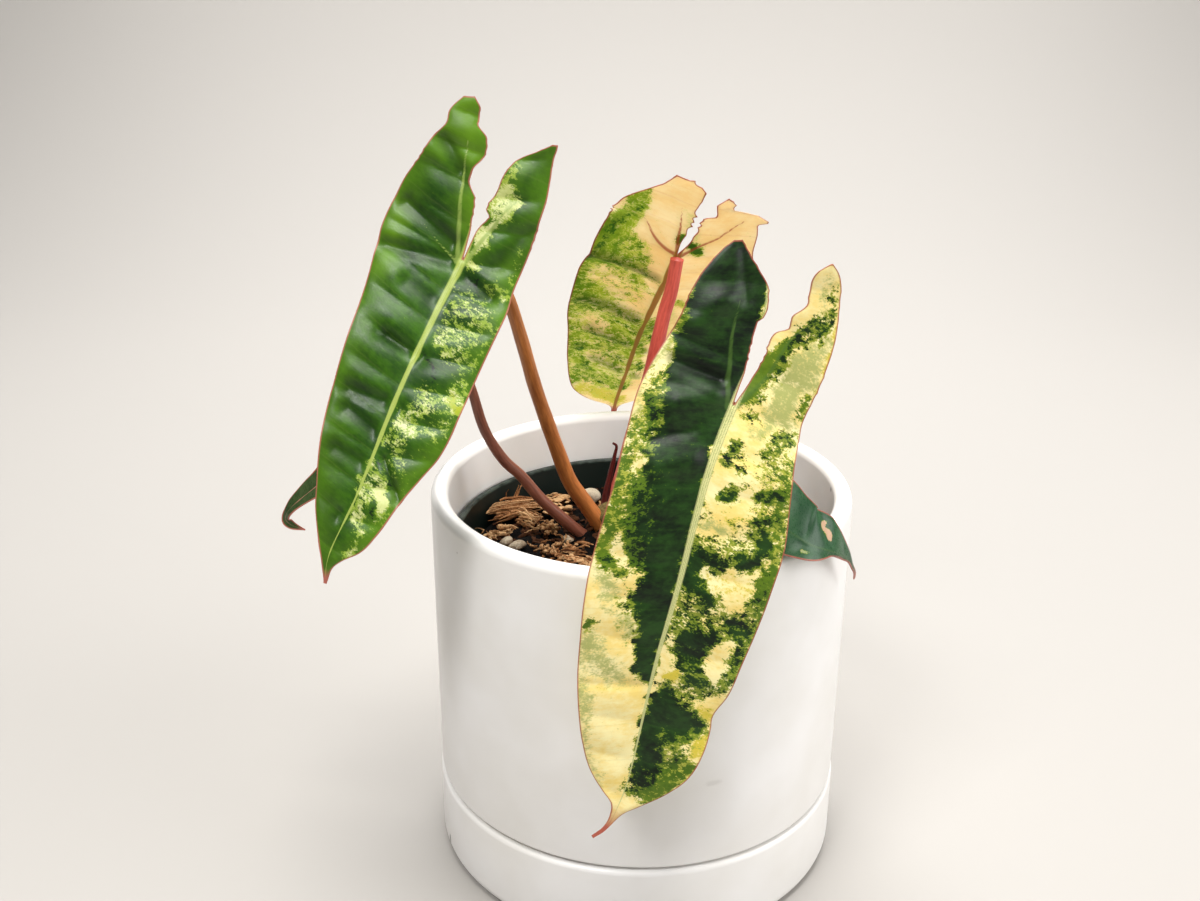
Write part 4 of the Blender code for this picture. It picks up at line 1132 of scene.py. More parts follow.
            (37.0, -16.8, 34.0, -21.0, 1.6, DARK, YELLOW, 0.5),
            (57.4, -6.6, 59.2, -11.4, 1.8, DARK, CREAM, 0.15),
            (59.8, -2.4, 64.0, -9.0, 2.8, DARK, CREAM, 0.56),
            (67.0, -3.0, 66.4, -11.4, 2.2, DARK, CREAM, 0.5),
            (47.8, -25.8, 57.4, -24.6, 1.6, DARK, GREEN, 0.5),
            (58.0, -24.0, 67.6, -24.6, 2.2, DARK, MINT, 0.52),
            (64.6, -18.6, 67.0, -23.4, 2.6, DARK, YELLOW, 0.25),
            (72.4, -24.0, 82.0, -23.4, 2.3, DARK, YELLOW, 0.45), (73.0, -7.2, 71.2, -15.6, 2.5, DARK),
            (77.2, -7.8, 76.6, -14.4, 2.7, DARK, GREEN, 0.2),
            (82.6, -7.8, 82.0, -14.4, 1.6, DARK, CREAM, 0.25), (74.2, -18.0, 82.0, -17.4, 3.0, CREAM),
            (86.8, -4.8, 85.6, -9.6, 1.6, YELLOW), (86.2, -10.8, 86.2, -16.2, 1.7, DARK, YELLOW, 0.2),
            (91.0, -4.2, 92.8, -6.0, 1.3, DARK, YELLOW, 0.3),
            (89.2, -15.6, 89.8, -18.0, 1.4, DARK, YELLOW, 0.5), (96.4, -4.2, 100.6, -12.6, 3.6, DARK),
            (101.8, -9.0, 104.8, -15.6, 2.7, DARK), (102.4, -3.0, 122.2, -4.2, 3.0, DARK),
            (109.0, -7.8, 112.6, -15.0, 3.2, DARK, MINT, 0.4),
            (121.0, -4.8, 121.0, -10.8, 3.5, DARK, MINT, 0.3),
            (112.6, -10.8, 109.6, -15.0, 1.3, CREAM, GREEN, 0.3),
            (129.4, -5.4, 116.2, -18.0, 1.9, GREEN, YELLOW, 0.35),
            (97.0, -18.6, 110.2, -19.2, 2.7, YELLOW, GREEN, 0.15), (100.6, -16.8, 102.4, -18.6, 1.7, DARK),
            (127.0, -0.0, 127.6, -3.0, 1.7, DARK, CREAM, 0.4), (131.8, -1.8, 131.2, -4.8, 1.3, CREAM),
            (81.7, 23.4, 96.7, 21.0, 1.2, MINT, CREAM, 0.3),
            (99.7, 20.4, 114.7, 15.6, 1.3, MINT, CREAM, 0.3),
            (119.5, 13.8, 129.1, 8.4, 1.4, MINT, CREAM, 0.35),
        ),
        creases=strokes(
            Crease,
            (-5.3, 22.2, -5.9, 7.2, 2.4, 2.3), (24.1, 14.4, 19.9, 6.6, -1.4, 4.1),
            (17.5, 19.8, 10.9, 9.0, 0.9, 2.0), (-21.5, 21.0, -31.7, 14.8, -2.4, 5.1),
            (4.9, 16.2, -0.5, 7.3, -2.4, 4.3), (-48.5, 8.7, -33.5, 7.0, 1.2, 2.5),
            (47.2, -20.4, 42.4, -28.8, 0.6, 2.5), (94.3, 20.4, 91.3, 0.6, 0.5, 1.3),
        ),
        ribs=(
            Rib(((0.7, 1.8), (-9.5, 5.8), (-19.1, 8.8), (-27.5, 9.5), (-32.9, 9.4))),
            Rib(((-0.8, -1.3), (-6.2, -3.4), (-12.2, -5.3), (-20.6, -6.8), (-26.0, -8.9), (-30.8, -13.8))),
        ),
    ),
    LeafBlade(
        name="blade_back",
        slot="leaf_underside",
        torn=2.0,
        skin=BELOW_SKIN,
        ground=Tone.CREAM,
        spine=(
            (26, 30, 257), (24, 35, 247), (20, 41, 234), (14, 48, 221), (7, 68, 198), (1, 82, 179),
            (-4, 98, 157), (-8, 110, 140), (-9, 118, 131),
        ),
        sinus_index=3,
        face_lobes=(0.0, 0.80, 0.60),
        face_tip=(0.0, 0.72, 0.70),
        plus_margin=(
            (-29.5, 11.5), (-27, 12.5), (-25.8, 14), (-25.3, 22.3), (-22, 23.2), (-14.5, 25.5), (-9, 29.5),
            (2, 33), (20, 34.5), (37, 34), (56, 30.5), (77, 27), (94, 21), (100, 16), (106, 8), (109, 3),
            (116.5, 1),
        ),
        plus_notch=((-29.5, 9), (-27, 5.5), (-21, 5.8), (-19.5, 1), (-14, 1.8), (-9.5, 2.6), (0, 0)),
        minus_margin=(
            (-38.5, 13.5), (-32, 19), (-27, 25.5), (-22.5, 30.8), (-9, 34), (2, 34), (16, 35.2), (37, 34.7),
            (47, 33), (57, 30.3), (77, 27.1), (94, 23), (100, 19.5), (107, 10), (109, 4), (116.5, 1),
        ),
        minus_notch=(
            (-38.5, 8.3), (-36.8, 6.6), (-34.6, 4.7), (-33, 2.3), (-30.4, 1.3), (-26.5, 1.8), (-17, 0.5),
            (-12, 1.5), (0, 0),
        ),
        cup=(0.15, 0.15),
        droop=80.0,
        quilt=0.9,
        quilt_pitch=12.0,
        lobe_curl=(-2.0, -2.0),
        patches=strokes(
            Patch,
            (10.7, -25.2, 56.9, -21.0, 17.8, GREEN, MINT, 0.5),
            (-24.7, -24.5, -8.5, -25.3, 5.1, GREEN, MINT, 0.4),
            (-7.9, -29.4, 4.1, -30.0, 6.6, GREEN, MINT, 0.38),
            (-11.5, -27.9, -3.1, -31.1, 2.5, DARK, GREEN, 0.4),
            (-17.5, -22.7, -4.9, -29.0, 1.9, DARK, CREAM, 0.46),
            (10.7, -30.6, 40.7, -29.4, 7.4, GREEN, YELLOW, 0.4),
            (42.5, -18.6, 86.3, -14.4, 13.2, GREEN, MINT, 0.52),
            (47.3, -1.8, 91.1, -1.8, 7.5, GREEN, YELLOW, 0.5),
            (17.3, -26.4, 33.5, -8.4, 5.3, CREAM, GREEN, 0.32),
            (5.9, -34.2, -0.1, -30.6, 2.3, DARK, CREAM, 0.36),
            (38.9, -30.6, 42.5, -18.6, 2.6, DARK, CREAM, 0.51),
            (48.5, -14.4, 56.3, 6.0, 2.7, DARK, CREAM, 0.51),
            (56.9, -19.2, 64.1, -5.4, 2.4, DARK, CREAM, 0.51),
            (71.3, -10.8, 78.5, 5.4, 3.4, DARK, CREAM, 0.56),
            (65.9, -23.4, 84.5, -16.8, 2.7, DARK, YELLOW, 0.4),
            (92.3, -9.6, 94.7, 0.6, 2.2, DARK, YELLOW, 0.5),
            (37.1, -10.2, 40.7, -1.2, 3.8, CREAM, GREEN, 0.22),
            (49.1, -23.4, 53.9, -17.4, 2.8, CREAM, GREEN, 0.26),
            (71.9, -18.6, 76.7, -12.6, 3.2, CREAM, GREEN, 0.34),
            (82.1, -7.2, 85.7, 4.2, 3.3, MINT, GREEN, 0.3),
            (97.1, -16.8, 104.3, 0.6, 4.3, YELLOW, GREEN, 0.26),
            (-0.1, -16.2, 2.3, -12.6, 1.2, DARK, CREAM, 0.56),
            (13.1, -13.2, 17.9, -2.4, 2.2, DARK, CREAM, 0.66),
            (23.3, -8.4, 27.5, -0.6, 2.1, DARK, CREAM, 0.66),
            (31.1, 7.8, 32.9, 12.0, 2.1, GREEN, CREAM, 0.46),
            (38.3, 9.0, 50.9, 9.0, 2.1, MINT, GREEN, 0.22), (-9.1, -1.3, -4.3, 6.9, 2.4, DARK),
            (-20.5, -4.5, -11.5, 2.3, 2.1, MINT, CREAM, 0.36), (95.9, 6.6, 87.5, 12.0, 3.5, CREAM),
        ),
        creases=strokes(
            Crease,
            (18.5, 1.8, 2.3, -33.6, 1.4, 2.8), (48.5, 3.6, 34.1, -30.0, 1.4, 3.4),
            (66.5, 4.8, 54.5, -22.2, 1.1, 2.5), (85.1, 4.8, 74.3, -16.8, 1.1, 2.8),
        ),
        ribs=(
            Rib(((-0.7, -0.1), (-12.1, -4.5), (-22.9, -7.4))),
            Rib(((-0.7, -0.1), (-2.5, -5.8), (-6.7, -13.0), (-13.3, -20.5))),
            Rib(((-0.1, 1.2), (-10.3, 8.6), (-22.9, 17.7))),
        ),
    ),
    LeafBlade(
        name="blade_right_low",
        slot="leaf_dark",
        skin=DARK_SKIN,
        ground=Tone.DARK,
        spine=(
            (10, -42, 166), (17, -44, 165), (24, -48, 163), (34, -54, 160), (46, -59, 154.5),
            (54, -60.5, 150), (62, -56, 145.5), (69, -47.5, 138.5), (73, -41, 131), (74, -38, 126.5),
        ),
        sinus_index=2,
        face_lobes=(0.15, -0.50, 0.85),
        face_tip=(0.45, -0.75, 0.45),
        plus_margin=(
            (-13, 8), (-8, 12), (0, 13), (12, 12.5), (22, 10), (30, 8), (34, 6.3), (37, 5), (41.5, 3.1),
            (46, 1.5), (57, 0.9), (75, 0.5),
        ),
        plus_notch=((-13, 5), (-8, 2), (0, 0)),
        minus_margin=(
            (-13, 8), (-8, 13), (0, 17), (10, 19.5), (19, 19), (27, 16), (36, 14.2), (44.5, 12.5),
            (50.5, 8.5), (57, 4.7), (65, 1.4), (75, 0.5),
        ),
        minus_notch=((-13, 5), (-8, 2), (0, 0)),
        cup=(0.0, 0.1),
        quilt=0.5,
        columns=26,
        patches=strokes(
            Patch,
            (40.6, -9.4, 44.8, -4.4, 1.25, CREAM, CREAM, 0.0, 1.0),
            (33.2, 3.6, 34.8, 3.0, 0.8, MINT, DARK, 0.2, 1.2),
        ),
    ),
    LeafBlade(
        name="blade_left_low",
        slot="leaf_dark",
        skin=FOLDED_SKIN,
        ground=Tone.DARK,
        spine=(
            (-59, 8, 207), (-65, 4, 202), (-70, 0, 197), (-80, 0, 184), (-94, 2, 168), (-110, 5, 151),
            (-123, 8, 140), (-133, 10, 131), (-136, 11, 126), (-134, 11, 123), (-129, 11, 121),
        ),
        sinus_index=2,
        face_lobes=(-0.50, -0.50, 0.75),
        face_tip=(-0.40, -0.70, 0.50),
        plus_margin=(
            (-16, 8), (-8, 12), (0, 13), (20, 14), (40, 13), (60, 9.5), (77, 5.7), (83, 5.3), (91, 3.6),
            (96, 2.0), (101, 1.8), (107, 0.3),
        ),
        plus_notch=((-16, 5), (-8, 2), (0, 0)),
        minus_margin=(
            (-16, 8), (-8, 12), (0, 13), (20, 14), (40, 13), (60, 9.5), (77, 5.2), (83, 4.2), (91, 2.6),
            (96, 2.0), (101, 1.8), (107, 0.3),
        ),
        minus_notch=((-16, 5), (-8, 2), (0, 0)),
        quilt=0.5,
        tip_red=3.0,
        columns=26,
    ),
)


# Stalks and the sheath of the young leaf


@dataclass(frozen=True)
class StalkSkin:
    """Smooth stalk skin: a living, faintly waxy surface with fine streaks along it."""

    name: str
    color: str
    shade: str
    roughness: float = 0.38

    def material(self) -> bpy.types.Material:
        """Builds the material, which reads the tube's own attributes.

        Returns:
            The node material.
        """
        made, tree = new_material(self.name)
        around = add_node(tree, "ShaderNodeAttribute", output="Vector", attribute_name="around")
        along = add_node(tree, "ShaderNodeAttribute", output="Fac", attribute_name="along")
        parts = add_node(tree, "ShaderNodeSeparateXYZ", {0: around}).node.outputs
        # Streaks are drawn about ten times as long as they are wide.
        drawn = add_node(tree, "ShaderNodeMath", {0: along, 1: 45.0}, operation="MULTIPLY")
        fibre = add_node(tree, "ShaderNodeCombineXYZ", {0: parts[0], 1: parts[1], 2: drawn})
        streaks = {"Vector": fibre, "Scale": 3.2, "Detail": 4.0, "Roughness": 0.65}
        streak = add_node(tree, "ShaderNodeTexNoise", streaks)
        patchy = add_node(tree, "ShaderNodeTexNoise", {"Vector": fibre, "Scale": 0.6, "Detail": 2.0})
        mixed = add_node(tree, "ShaderNodeMath", {0: streak, 1: patchy}, operation="ADD")
        share = add_node(tree, "ShaderNodeMapRange", {"Value": mixed, "From Min": 0.78, "From Max": 1.22})
        paints = {"Factor_Float": share, "A_Color": linear(self.color), "B_Color": linear(self.shade)}
        color = add_node(tree, "ShaderNodeMix", paints, "Result_Color", data_type="RGBA")
        look = {"Base Color": color, "Roughness": self.roughness, "IOR": 1.42}
        add_body(tree, look, streak, (0.25, 0.0001))
        return made


@dataclass(frozen=True)
class Stalk:
    """A round stalk: its path from inside the stem up to the sinus of its blade, and its two radii."""

    name: str
    slot: str
    skin: StalkSkin
    path: tuple[Point, ...]
    foot_radius: float
    top_radius: float
    flare: float = 0.25
    sides: int = 32
    step: float = 1.0

    def centre_line(self) -> bpy.types.Object:
        """Lays out the stalk for its tree.

        Returns:
            A chain of edges along the path, with the stalk's radius at each point.
        """
        line = curve_through(self.path, 30)
        along = lengths_along(line)
        count = round(along[-1] / self.step)
        stations = np.linspace(0, along[-1], count + 1)
        share = stations / along[-1]
        radii = self.foot_radius + (self.top_radius - self.foot_radius) * share
        radii = radii * (1 + self.flare * np.exp(-share / 0.08)) * (1 + 0.015 * np.sin(stations / 3.1))
        # The finished piece's name differs from its CAD node's.
        name = self.name.replace("stalk", "petiole").replace("new_leaf_sheath", "sheath_of_new_leaf")
        centres = read_along(stations, along, line)
        guide = mesh_object(name, centres, edges=[(k, k + 1) for k in range(count)])
        store(guide, "reach", radii * MM)
        store(guide, "along", stations * MM)
        return guide

    def build(self) -> bpy.types.Object:
        """Builds the tube with the stalk tree."""
        return grown(self.centre_line(), stalk_tree(), {"Sides": self.sides})

    def dress(self, piece: bpy.types.Object) -> None:
        """Gives the stalk its skin and its place in the frame."""
        dress(piece, self.skin.material(), self.slot, self.name)


def new_tree(name: str, inputs: dict[str, str]) -> bpy.types.NodeTree:
    """Makes an empty Geometry Nodes tree with geometry in and out.

    Args:
        name: The tree's name.
        inputs: The socket type of each further input, by name.

    Returns:
        The tree.
    """
    tree = bpy.data.node_groups.new(name, "GeometryNodeTree")
    tree.interface.new_socket("Geometry", in_out="INPUT", socket_type="NodeSocketGeometry")
    tree.interface.new_socket("Geometry", in_out="OUTPUT", socket_type="NodeSocketGeometry")
    for title, kind in inputs.items():
        tree.interface.new_socket(title, in_out="INPUT", socket_type=kind)
    return tree


def grown(source: bpy.types.Object, tree: bpy.types.NodeTree, inputs: dict[str, object]) -> bpy.types.Object:
    """Runs a Geometry Nodes tree on an object and keeps the result as a plain mesh.

    Args:
        source: The object that the tree starts from, which becomes the result.
        tree: The Geometry Nodes tree.
        inputs: Values by the names of the tree's inputs.

    Returns:
        The same object with its new mesh, closed and facing outwards.
    """
    modifier = source.modifiers.new(tree.name, "NODES")
    modifier.node_group = tree
    for item in tree.interface.items_tree:
        if item.in_out == "INPUT" and item.name in inputs:
            modifier[item.identifier] = inputs[item.name]
    source.update_tag()
    graph = bpy.context.evaluated_depsgraph_get()
    result = source.evaluated_get(graph)
    mesh = bpy.data.meshes.new_from_object(result, preserve_all_data_layers=True, depsgraph=graph)
    source.modifiers.remove(modifier)
    face_outwards(mesh, 50)
    spent = source.data
    source.data = mesh
    bpy.data.meshes.remove(spent)
    mesh.name = source.name
    return source


def stalk_tree() -> bpy.types.NodeTree:
    """Builds, once, the tree that sweeps a circle along a centre line.

    Returns:
        The tree.
    """
    if "stalk_sweep" in bpy.data.node_groups:
        return bpy.data.node_groups["stalk_sweep"]
    tree = new_tree("stalk_sweep", {"Sides": "NodeSocketInt"})
    start = add_node(tree, "NodeGroupInput").node.outputs
    line = add_node(tree, "GeometryNodeMeshToCurve", {"Mesh": start["Geometry"]})
    named = {"Name": "reach"}
    reach = add_node(tree, "GeometryNodeInputNamedAttribute", named, "Attribute", data_type="FLOAT")
    sized = add_node(tree, "GeometryNodeSetCurveRadius", {"Curve": line, "Radius": reach})
    circle = add_node(tree, "GeometryNodeCurvePrimitiveCircle", {"Resolution": start["Sides"], "Radius": 1.0})
    spot = add_node(tree, "GeometryNodeInputPosition")
    around = {"Geometry": circle, "Name": "around", "Value": spot}
    kinds = {"data_type": "FLOAT_VECTOR", "domain": "POINT"}
    marked = add_node(tree, "GeometryNodeStoreNamedAttribute", around, **kinds)
    sweep = {"Curve": sized, "Profile Curve": marked, "Fill Caps": True, "Scale": reach}
    swept = add_node(tree, "GeometryNodeCurveToMesh", sweep)
    real = add_node(tree, "GeometryNodeRealizeInstances", {"Geometry": swept})
    finished = add_node(tree, "GeometryNodeSetMaterial", {"Geometry": real})
    add_node(tree, "NodeGroupOutput", {"Geometry": finished})
    return tree


BROWN_SKIN = StalkSkin("stalk_skin_orange_brown", "#CB7E42", "#98582C")
RED_SKIN = StalkSkin("stalk_skin_red", "#DE6152", "#B44236")
MAUVE_SKIN = StalkSkin("stalk_skin_mauve_brown", "#A0624C", "#744234")
SHEATH_SKIN = StalkSkin("sheath_skin_dark_red", "#5E130F", "#280807")

STALKS = (
    Stalk(
        name="stalk_left",
        slot="stalk_brown",
        skin=BROWN_SKIN,
        path=(
            (-11, 20, 114), (-16, 19, 122), (-21.2, 16.5, 131), (-26.8, 12, 142), (-31, 7, 156),
            (-34.8, 2, 170), (-38.8, -4, 186), (-42.4, -13, 205), (-46.4, -22, 223), (-51.6, -30, 234),
            (-58.7, -38.8, 238.1),
        ),
        foot_radius=3.2,
        top_radius=2.0,
    ),
    Stalk(
        name="stalk_front",
        slot="stalk_brown",
        skin=BROWN_SKIN,
        path=(
            (-11, 21, 116), (-8, 11, 126), (-2, -9, 147), (8, -34, 173), (18, -56, 194), (24.9, -69.4, 201.2),
        ),
        foot_radius=3.2,
        top_radius=2.1,
    ),
    Stalk(
        name="stalk_back",
        slot="stalk_red",
        skin=RED_SKIN,
        path=(
            (-12, 24, 110), (-9.2, 33, 123), (-6.2, 37, 133), (-2.5, 40, 148), (3.6, 43, 170),
            (9.2, 44.6, 197), (12, 44.6, 208), (13.9, 43.8, 220.5),
        ),
        foot_radius=3.4,
        top_radius=2.6,
    ),
    Stalk(
        name="stalk_right_low",
        slot="stalk_mauve",
        skin=MAUVE_SKIN,
        path=((-11, 21, 110), (-3, 12, 120), (8, -6, 136), (16, -26, 152), (23.4, -46.4, 160.5)),
        foot_radius=2.6,
        top_radius=1.7,
    ),
    Stalk(
        name="stalk_left_low",
        slot="stalk_mauve",
        skin=MAUVE_SKIN,
        path=(
            (-11, 20, 108), (-22, 15.5, 117.5), (-30, 13, 126), (-38, 11, 135), (-45, 9, 145), (-51, 7, 152),
            (-56, 5, 161), (-59, 4, 169), (-62, 2.5, 182), (-65, 1.5, 190), (-68.5, 1, 195),
        ),
        foot_radius=2.5,
        top_radius=1.7,
    ),
    Stalk(
        name="new_leaf_sheath",
        slot="sheath_red",
        skin=SHEATH_SKIN,
        path=(
            (-12, 24, 120), (-13, 27, 126), (-11.1, 29, 137), (-9.4, 30, 145), (-8.7, 30, 149),
            (-10.2, 30, 150.3),
        ),
        foot_radius=2.0,
        top_radius=0.45,
        flare=0.0,
        step=0.5,
    ),
)


# Pots


def arc(centre: Pair, radius: float, start: float, end: float, steps: int) -> list[Pair]:
    """Returns the points of an arc in a turned profile, between two angles in degrees."""
    angles = np.radians(np.linspace(start, end, steps + 1))
    return [(centre[0] + radius * math.cos(a), centre[1] + radius * math.sin(a)) for a in angles]


def turned(
    name: str, profile: list[Pair], sides: int, closed_loop: bool = False, axis: Pair = (0.0, 0.0)
) -> bpy.types.Object:
    """Turns a profile round a vertical axis.

    Args:
        name: The object's name.
        profile: Radius and height of each point, from the axis back to the axis unless it is a closed loop.
        sides: Steps round the axis.
        closed_loop: Whether the profile closes on itself.
        axis: Where the axis stands.

    Returns:
        The closed object.
    """
    turn = 2 * math.pi * np.arange(sides) / sides
    rows: list[list[int]] = []
    places: list[Point] = []
    for radius, height in profile:
        if radius <= 0:
            rows.append([len(places)] * sides)
            places.append((axis[0], axis[1], height))
            continue
        rows.append(list(range(len(places), len(places) + sides)))
        places += [(axis[0] + radius * math.cos(a), axis[1] + radius * math.sin(a), height) for a in turn]
    if closed_loop:
        rows.append(rows[0])
    faces = []
    for low, high in zip(rows[:-1], rows[1:]):
        for k in range(sides):
            after = (k + 1) % sides
            corners = dict.fromkeys((low[k], low[after], high[after], high[k]))
            if len(corners) > 2:
                faces.append(tuple(corners))
    made = mesh_object(name, np.array(places), faces)
    face_outwards(made.data, 35)
    return made


@dataclass(frozen=True)
class Mark:
    """A small mark of use on a pot: its place, its radius and how far it darkens the glaze."""

    place: Point
    radius: float
    strength: float
    color: str = "#6E655C"
    stretch: Point = (1.0, 1.0, 1.0)


@dataclass(frozen=True)
class SatinGlaze:
    """White stoneware under a satin glaze: an even warm white with soft broad highlights."""

    name: str = "glazed_stoneware_satin_white"
    color: str = "#F3F1EF"
    shade: str = "#E9E6E1"
    roughness: float = 0.34
    marks: tuple[Mark, ...] = (
        Mark((-73.0, -27.4, 5.5), 1.3, 0.85, "#3E362F", (1.0, 1.0, 0.35)),
        Mark((71.0, 0.6, 143.6), 1.2, 0.75, "#4A423B"),
        Mark((-21.3, -74.6, 147.3), 0.7, 0.75),
        Mark((-20.0, -74.9, 147.2), 0.5, 0.75),
        Mark((-23.2, -74.0, 147.3), 0.6, 0.6),
        Mark((24.3, -73.6, 66.4), 3.2, 0.22, "#A9A39C", (0.8, 1.0, 2.2)),
        Mark((-63.9, -43.9, 138.5), 0.5, 0.5),
    )

    def material(self) -> bpy.types.Material:
        """Builds the material in Object coordinates, with its marks.

        Returns:
            The node material.
        """
        made, tree = new_material(self.name)
        spot = add_node(tree, "ShaderNodeTexCoord", output="Object")
        # Glaze pools over 40 mm. Its orange peel is drawn at 3 mm, and the marks' ragged edges at 1.5 mm.
        pooled, peel, ragged = (
            add_node(tree, "ShaderNodeTexNoise", {"Vector": spot, "Scale": 1 / size, "Detail": detail})
            for size, detail in ((0.04, 3.0), (0.003, 2.0), (0.0015, 2.0))
        )
        share = add_node(tree, "ShaderNodeMapRange", {"Value": pooled, "From Min": 0.35, "From Max": 0.7})
        paints = {"Factor_Float": share, "A_Color": linear(self.color), "B_Color": linear(self.shade)}
        color = add_node(tree, "ShaderNodeMix", paints, "Result_Color", data_type="RGBA")
        for mark in self.marks:
            place = tuple(value * MM for value in mark.place)
            reach = mark.radius * MM
            away = add_node(tree, "ShaderNodeVectorMath", {0: spot, 1: place}, operation="SUBTRACT")
            drawn = {0: away, 1: mark.stretch}
            away = add_node(tree, "ShaderNodeVectorMath", drawn, operation="MULTIPLY")
            away = add_node(tree, "ShaderNodeVectorMath", {0: away}, "Value", operation="LENGTH")
            uneven = {0: ragged, 1: reach, 2: away}
            away = add_node(tree, "ShaderNodeMath", uneven, operation="MULTIPLY_ADD")
            limits = {"Value": away, "From Min": 0.9 * reach, "From Max": 1.5 * reach}
            fading = {"To Min": mark.strength, "To Max": 0.0}
            mask = add_node(tree, "ShaderNodeMapRange", {**limits, **fading})
            paints = {"Factor_Float": mask, "A_Color": color, "B_Color": linear(mark.color)}
            color = add_node(tree, "ShaderNodeMix", paints, "Result_Color", data_type="RGBA")
        sheen = {"Value": pooled, "To Min": self.roughness - 0.05, "To Max": self.roughness + 0.06}
        gloss = add_node(tree, "ShaderNodeMapRange", sheen)
        add_body(tree, {"Base Color": color, "Roughness": gloss, "IOR": 1.5}, peel, (0.06, 0.0002))
        return made


@dataclass(frozen=True)
class Ceramics:
    """The white cylinder pot with its rounded lip and narrower foot, and the saucer that it stands in."""

    pot_radius: float = 77.5
    pot_bore: float = 71.0
    pot_top: float = 147.5
    shoulder: float = 33.0
    foot_radius: float = 69.5
    foot_wall: float = 6.0
    foot_round: float = 3.0
    shoulder_round: float = 1.5
    inner_slope: float = 8.0
    pot_floor: float = 14.5
    lip_round: float = 3.2
    drain_radius: float = 7.0
    saucer_radius: float = 78.0
    saucer_bore: float = 71.5
    saucer_top: float = 31.8
    saucer_floor: float = 7.5
    heel_round: float = 5.0
    rim_round: float = 2.0
    gap: float = 0.3
    sides: int = 192
    round_steps: int = 8
    lip_steps: int = 12
    heel_steps: int = 14
    glaze: SatinGlaze = SatinGlaze()

    def build_saucer(self) -> bpy.types.Object:
        """Builds the saucer: a flat-bottomed dish with a rounded heel and rim.

        Returns:
            The piece.
        """
        steps, rim = self.round_steps, self.rim_round
        heel = (self.saucer_radius - self.heel_round, self.heel_round)
        half_wall = (self.saucer_radius - self.saucer_bore) / 2
        inner = (self.saucer_bore - half_wall, self.saucer_floor + half_wall)
        profile = [(0.0, 0.0)]
        profile += arc(heel, self.heel_round, -90, 0, self.heel_steps)
        profile += arc((self.saucer_radius - rim, self.saucer_top - rim), rim, 0, 90, steps)
        profile += arc((self.saucer_bore + rim, self.saucer_top - rim), rim, 90, 180, steps)
        profile += arc(inner, half_wall, 0, -90, steps)
        profile += [(0.0, self.saucer_floor)]
        return turned("saucer_glazed", profile, self.sides)

    def build_pot(self) -> bpy.types.Object:
        """Builds the pot: a straight wall with a rounded lip, and a narrower foot with a drain hole.

        Returns:
            The piece.
        """
        steps, bend, lip = self.round_steps, self.shoulder_round, self.lip_round
        foot = self.saucer_floor + self.gap
        inner_foot = self.foot_radius - self.foot_wall
        corner = (self.foot_radius - self.foot_round, foot + self.foot_round)
        profile = [(self.drain_radius, foot)]
        profile += arc(corner, self.foot_round, -90, 0, steps)
        profile += [(self.foot_radius, self.shoulder)]
        profile += arc((self.pot_radius - bend, self.shoulder + bend), bend, -90, 0, steps)
        profile += arc((self.pot_radius - lip, self.pot_top - lip), lip, 0, 90, self.lip_steps)
        profile += arc((self.pot_bore + lip, self.pot_top - lip), lip, 90, 180, self.lip_steps)
        profile += [(self.pot_bore, self.shoulder + self.inner_slope), (inner_foot, self.shoulder)]
        profile += [(inner_foot, self.pot_floor), (self.drain_radius, self.pot_floor)]
        return turned("outer_pot_glazed", profile, self.sides, closed_loop=True)

    def make(self) -> None:
        """Builds and dresses the pot and the saucer."""
        finish = self.glaze.material()
        dress(self.build_saucer(), finish, "white_ceramic", "saucer")
        dress(self.build_pot(), finish, "white_ceramic", "outer_pot")


@dataclass(frozen=True)
class ThinPlastic:
    """Thin moulded polypropylene: near black with a green cast, lighter on its rim's top with scuffs and a
    painted highlight.
    """

    name: str = "moulded_polypropylene_green_black"
    color: str = "#131C18"
    scuff_and_highlight: str = "#4A554E"
    lit_and_scuffed_band: float = 1.2
    roughness: float = 0.42

    def material(self, rim_height: float) -> bpy.types.Material:
        """Builds the material.

        Args:
            rim_height: The rim's top in millimetres, where the scuffs and the painted highlight are.

        Returns:
            The node material.
        """
        made, tree = new_material(self.name)
        spot = add_node(tree, "ShaderNodeTexCoord", output="Object")
        height = add_node(tree, "ShaderNodeSeparateXYZ", {0: spot}, "Z")
        scratch = add_node(tree, "ShaderNodeTexNoise", {"Vector": spot, "Scale": 1 / 0.004, "Detail": 4.0})
        # Scuffs and painted highlight: ragged patches on the rim's top band are painted lighter.
        rim = {"From Min": (rim_height - self.lit_and_scuffed_band) * MM, "From Max": rim_height * MM, "To Max": 0.75}
        near_rim = add_node(tree, "ShaderNodeMapRange", {"Value": height, **rim})
        worn = add_node(tree, "ShaderNodeMapRange", {"Value": scratch, "From Min": 0.35, "From Max": 0.6})
        share = add_node(tree, "ShaderNodeMath", {0: near_rim, 1: worn}, operation="MULTIPLY")
        paints = {"Factor_Float": share, "A_Color": linear(self.color), "B_Color": linear(self.scuff_and_highlight)}
        color = add_node(tree, "ShaderNodeMix", paints, "Result_Color", data_type="RGBA")
        look = {"Base Color": color, "Roughness": self.roughness, "Specular IOR Level": 0.25}
        add_body(tree, look, scratch, (0.15, 0.0002))
        return made


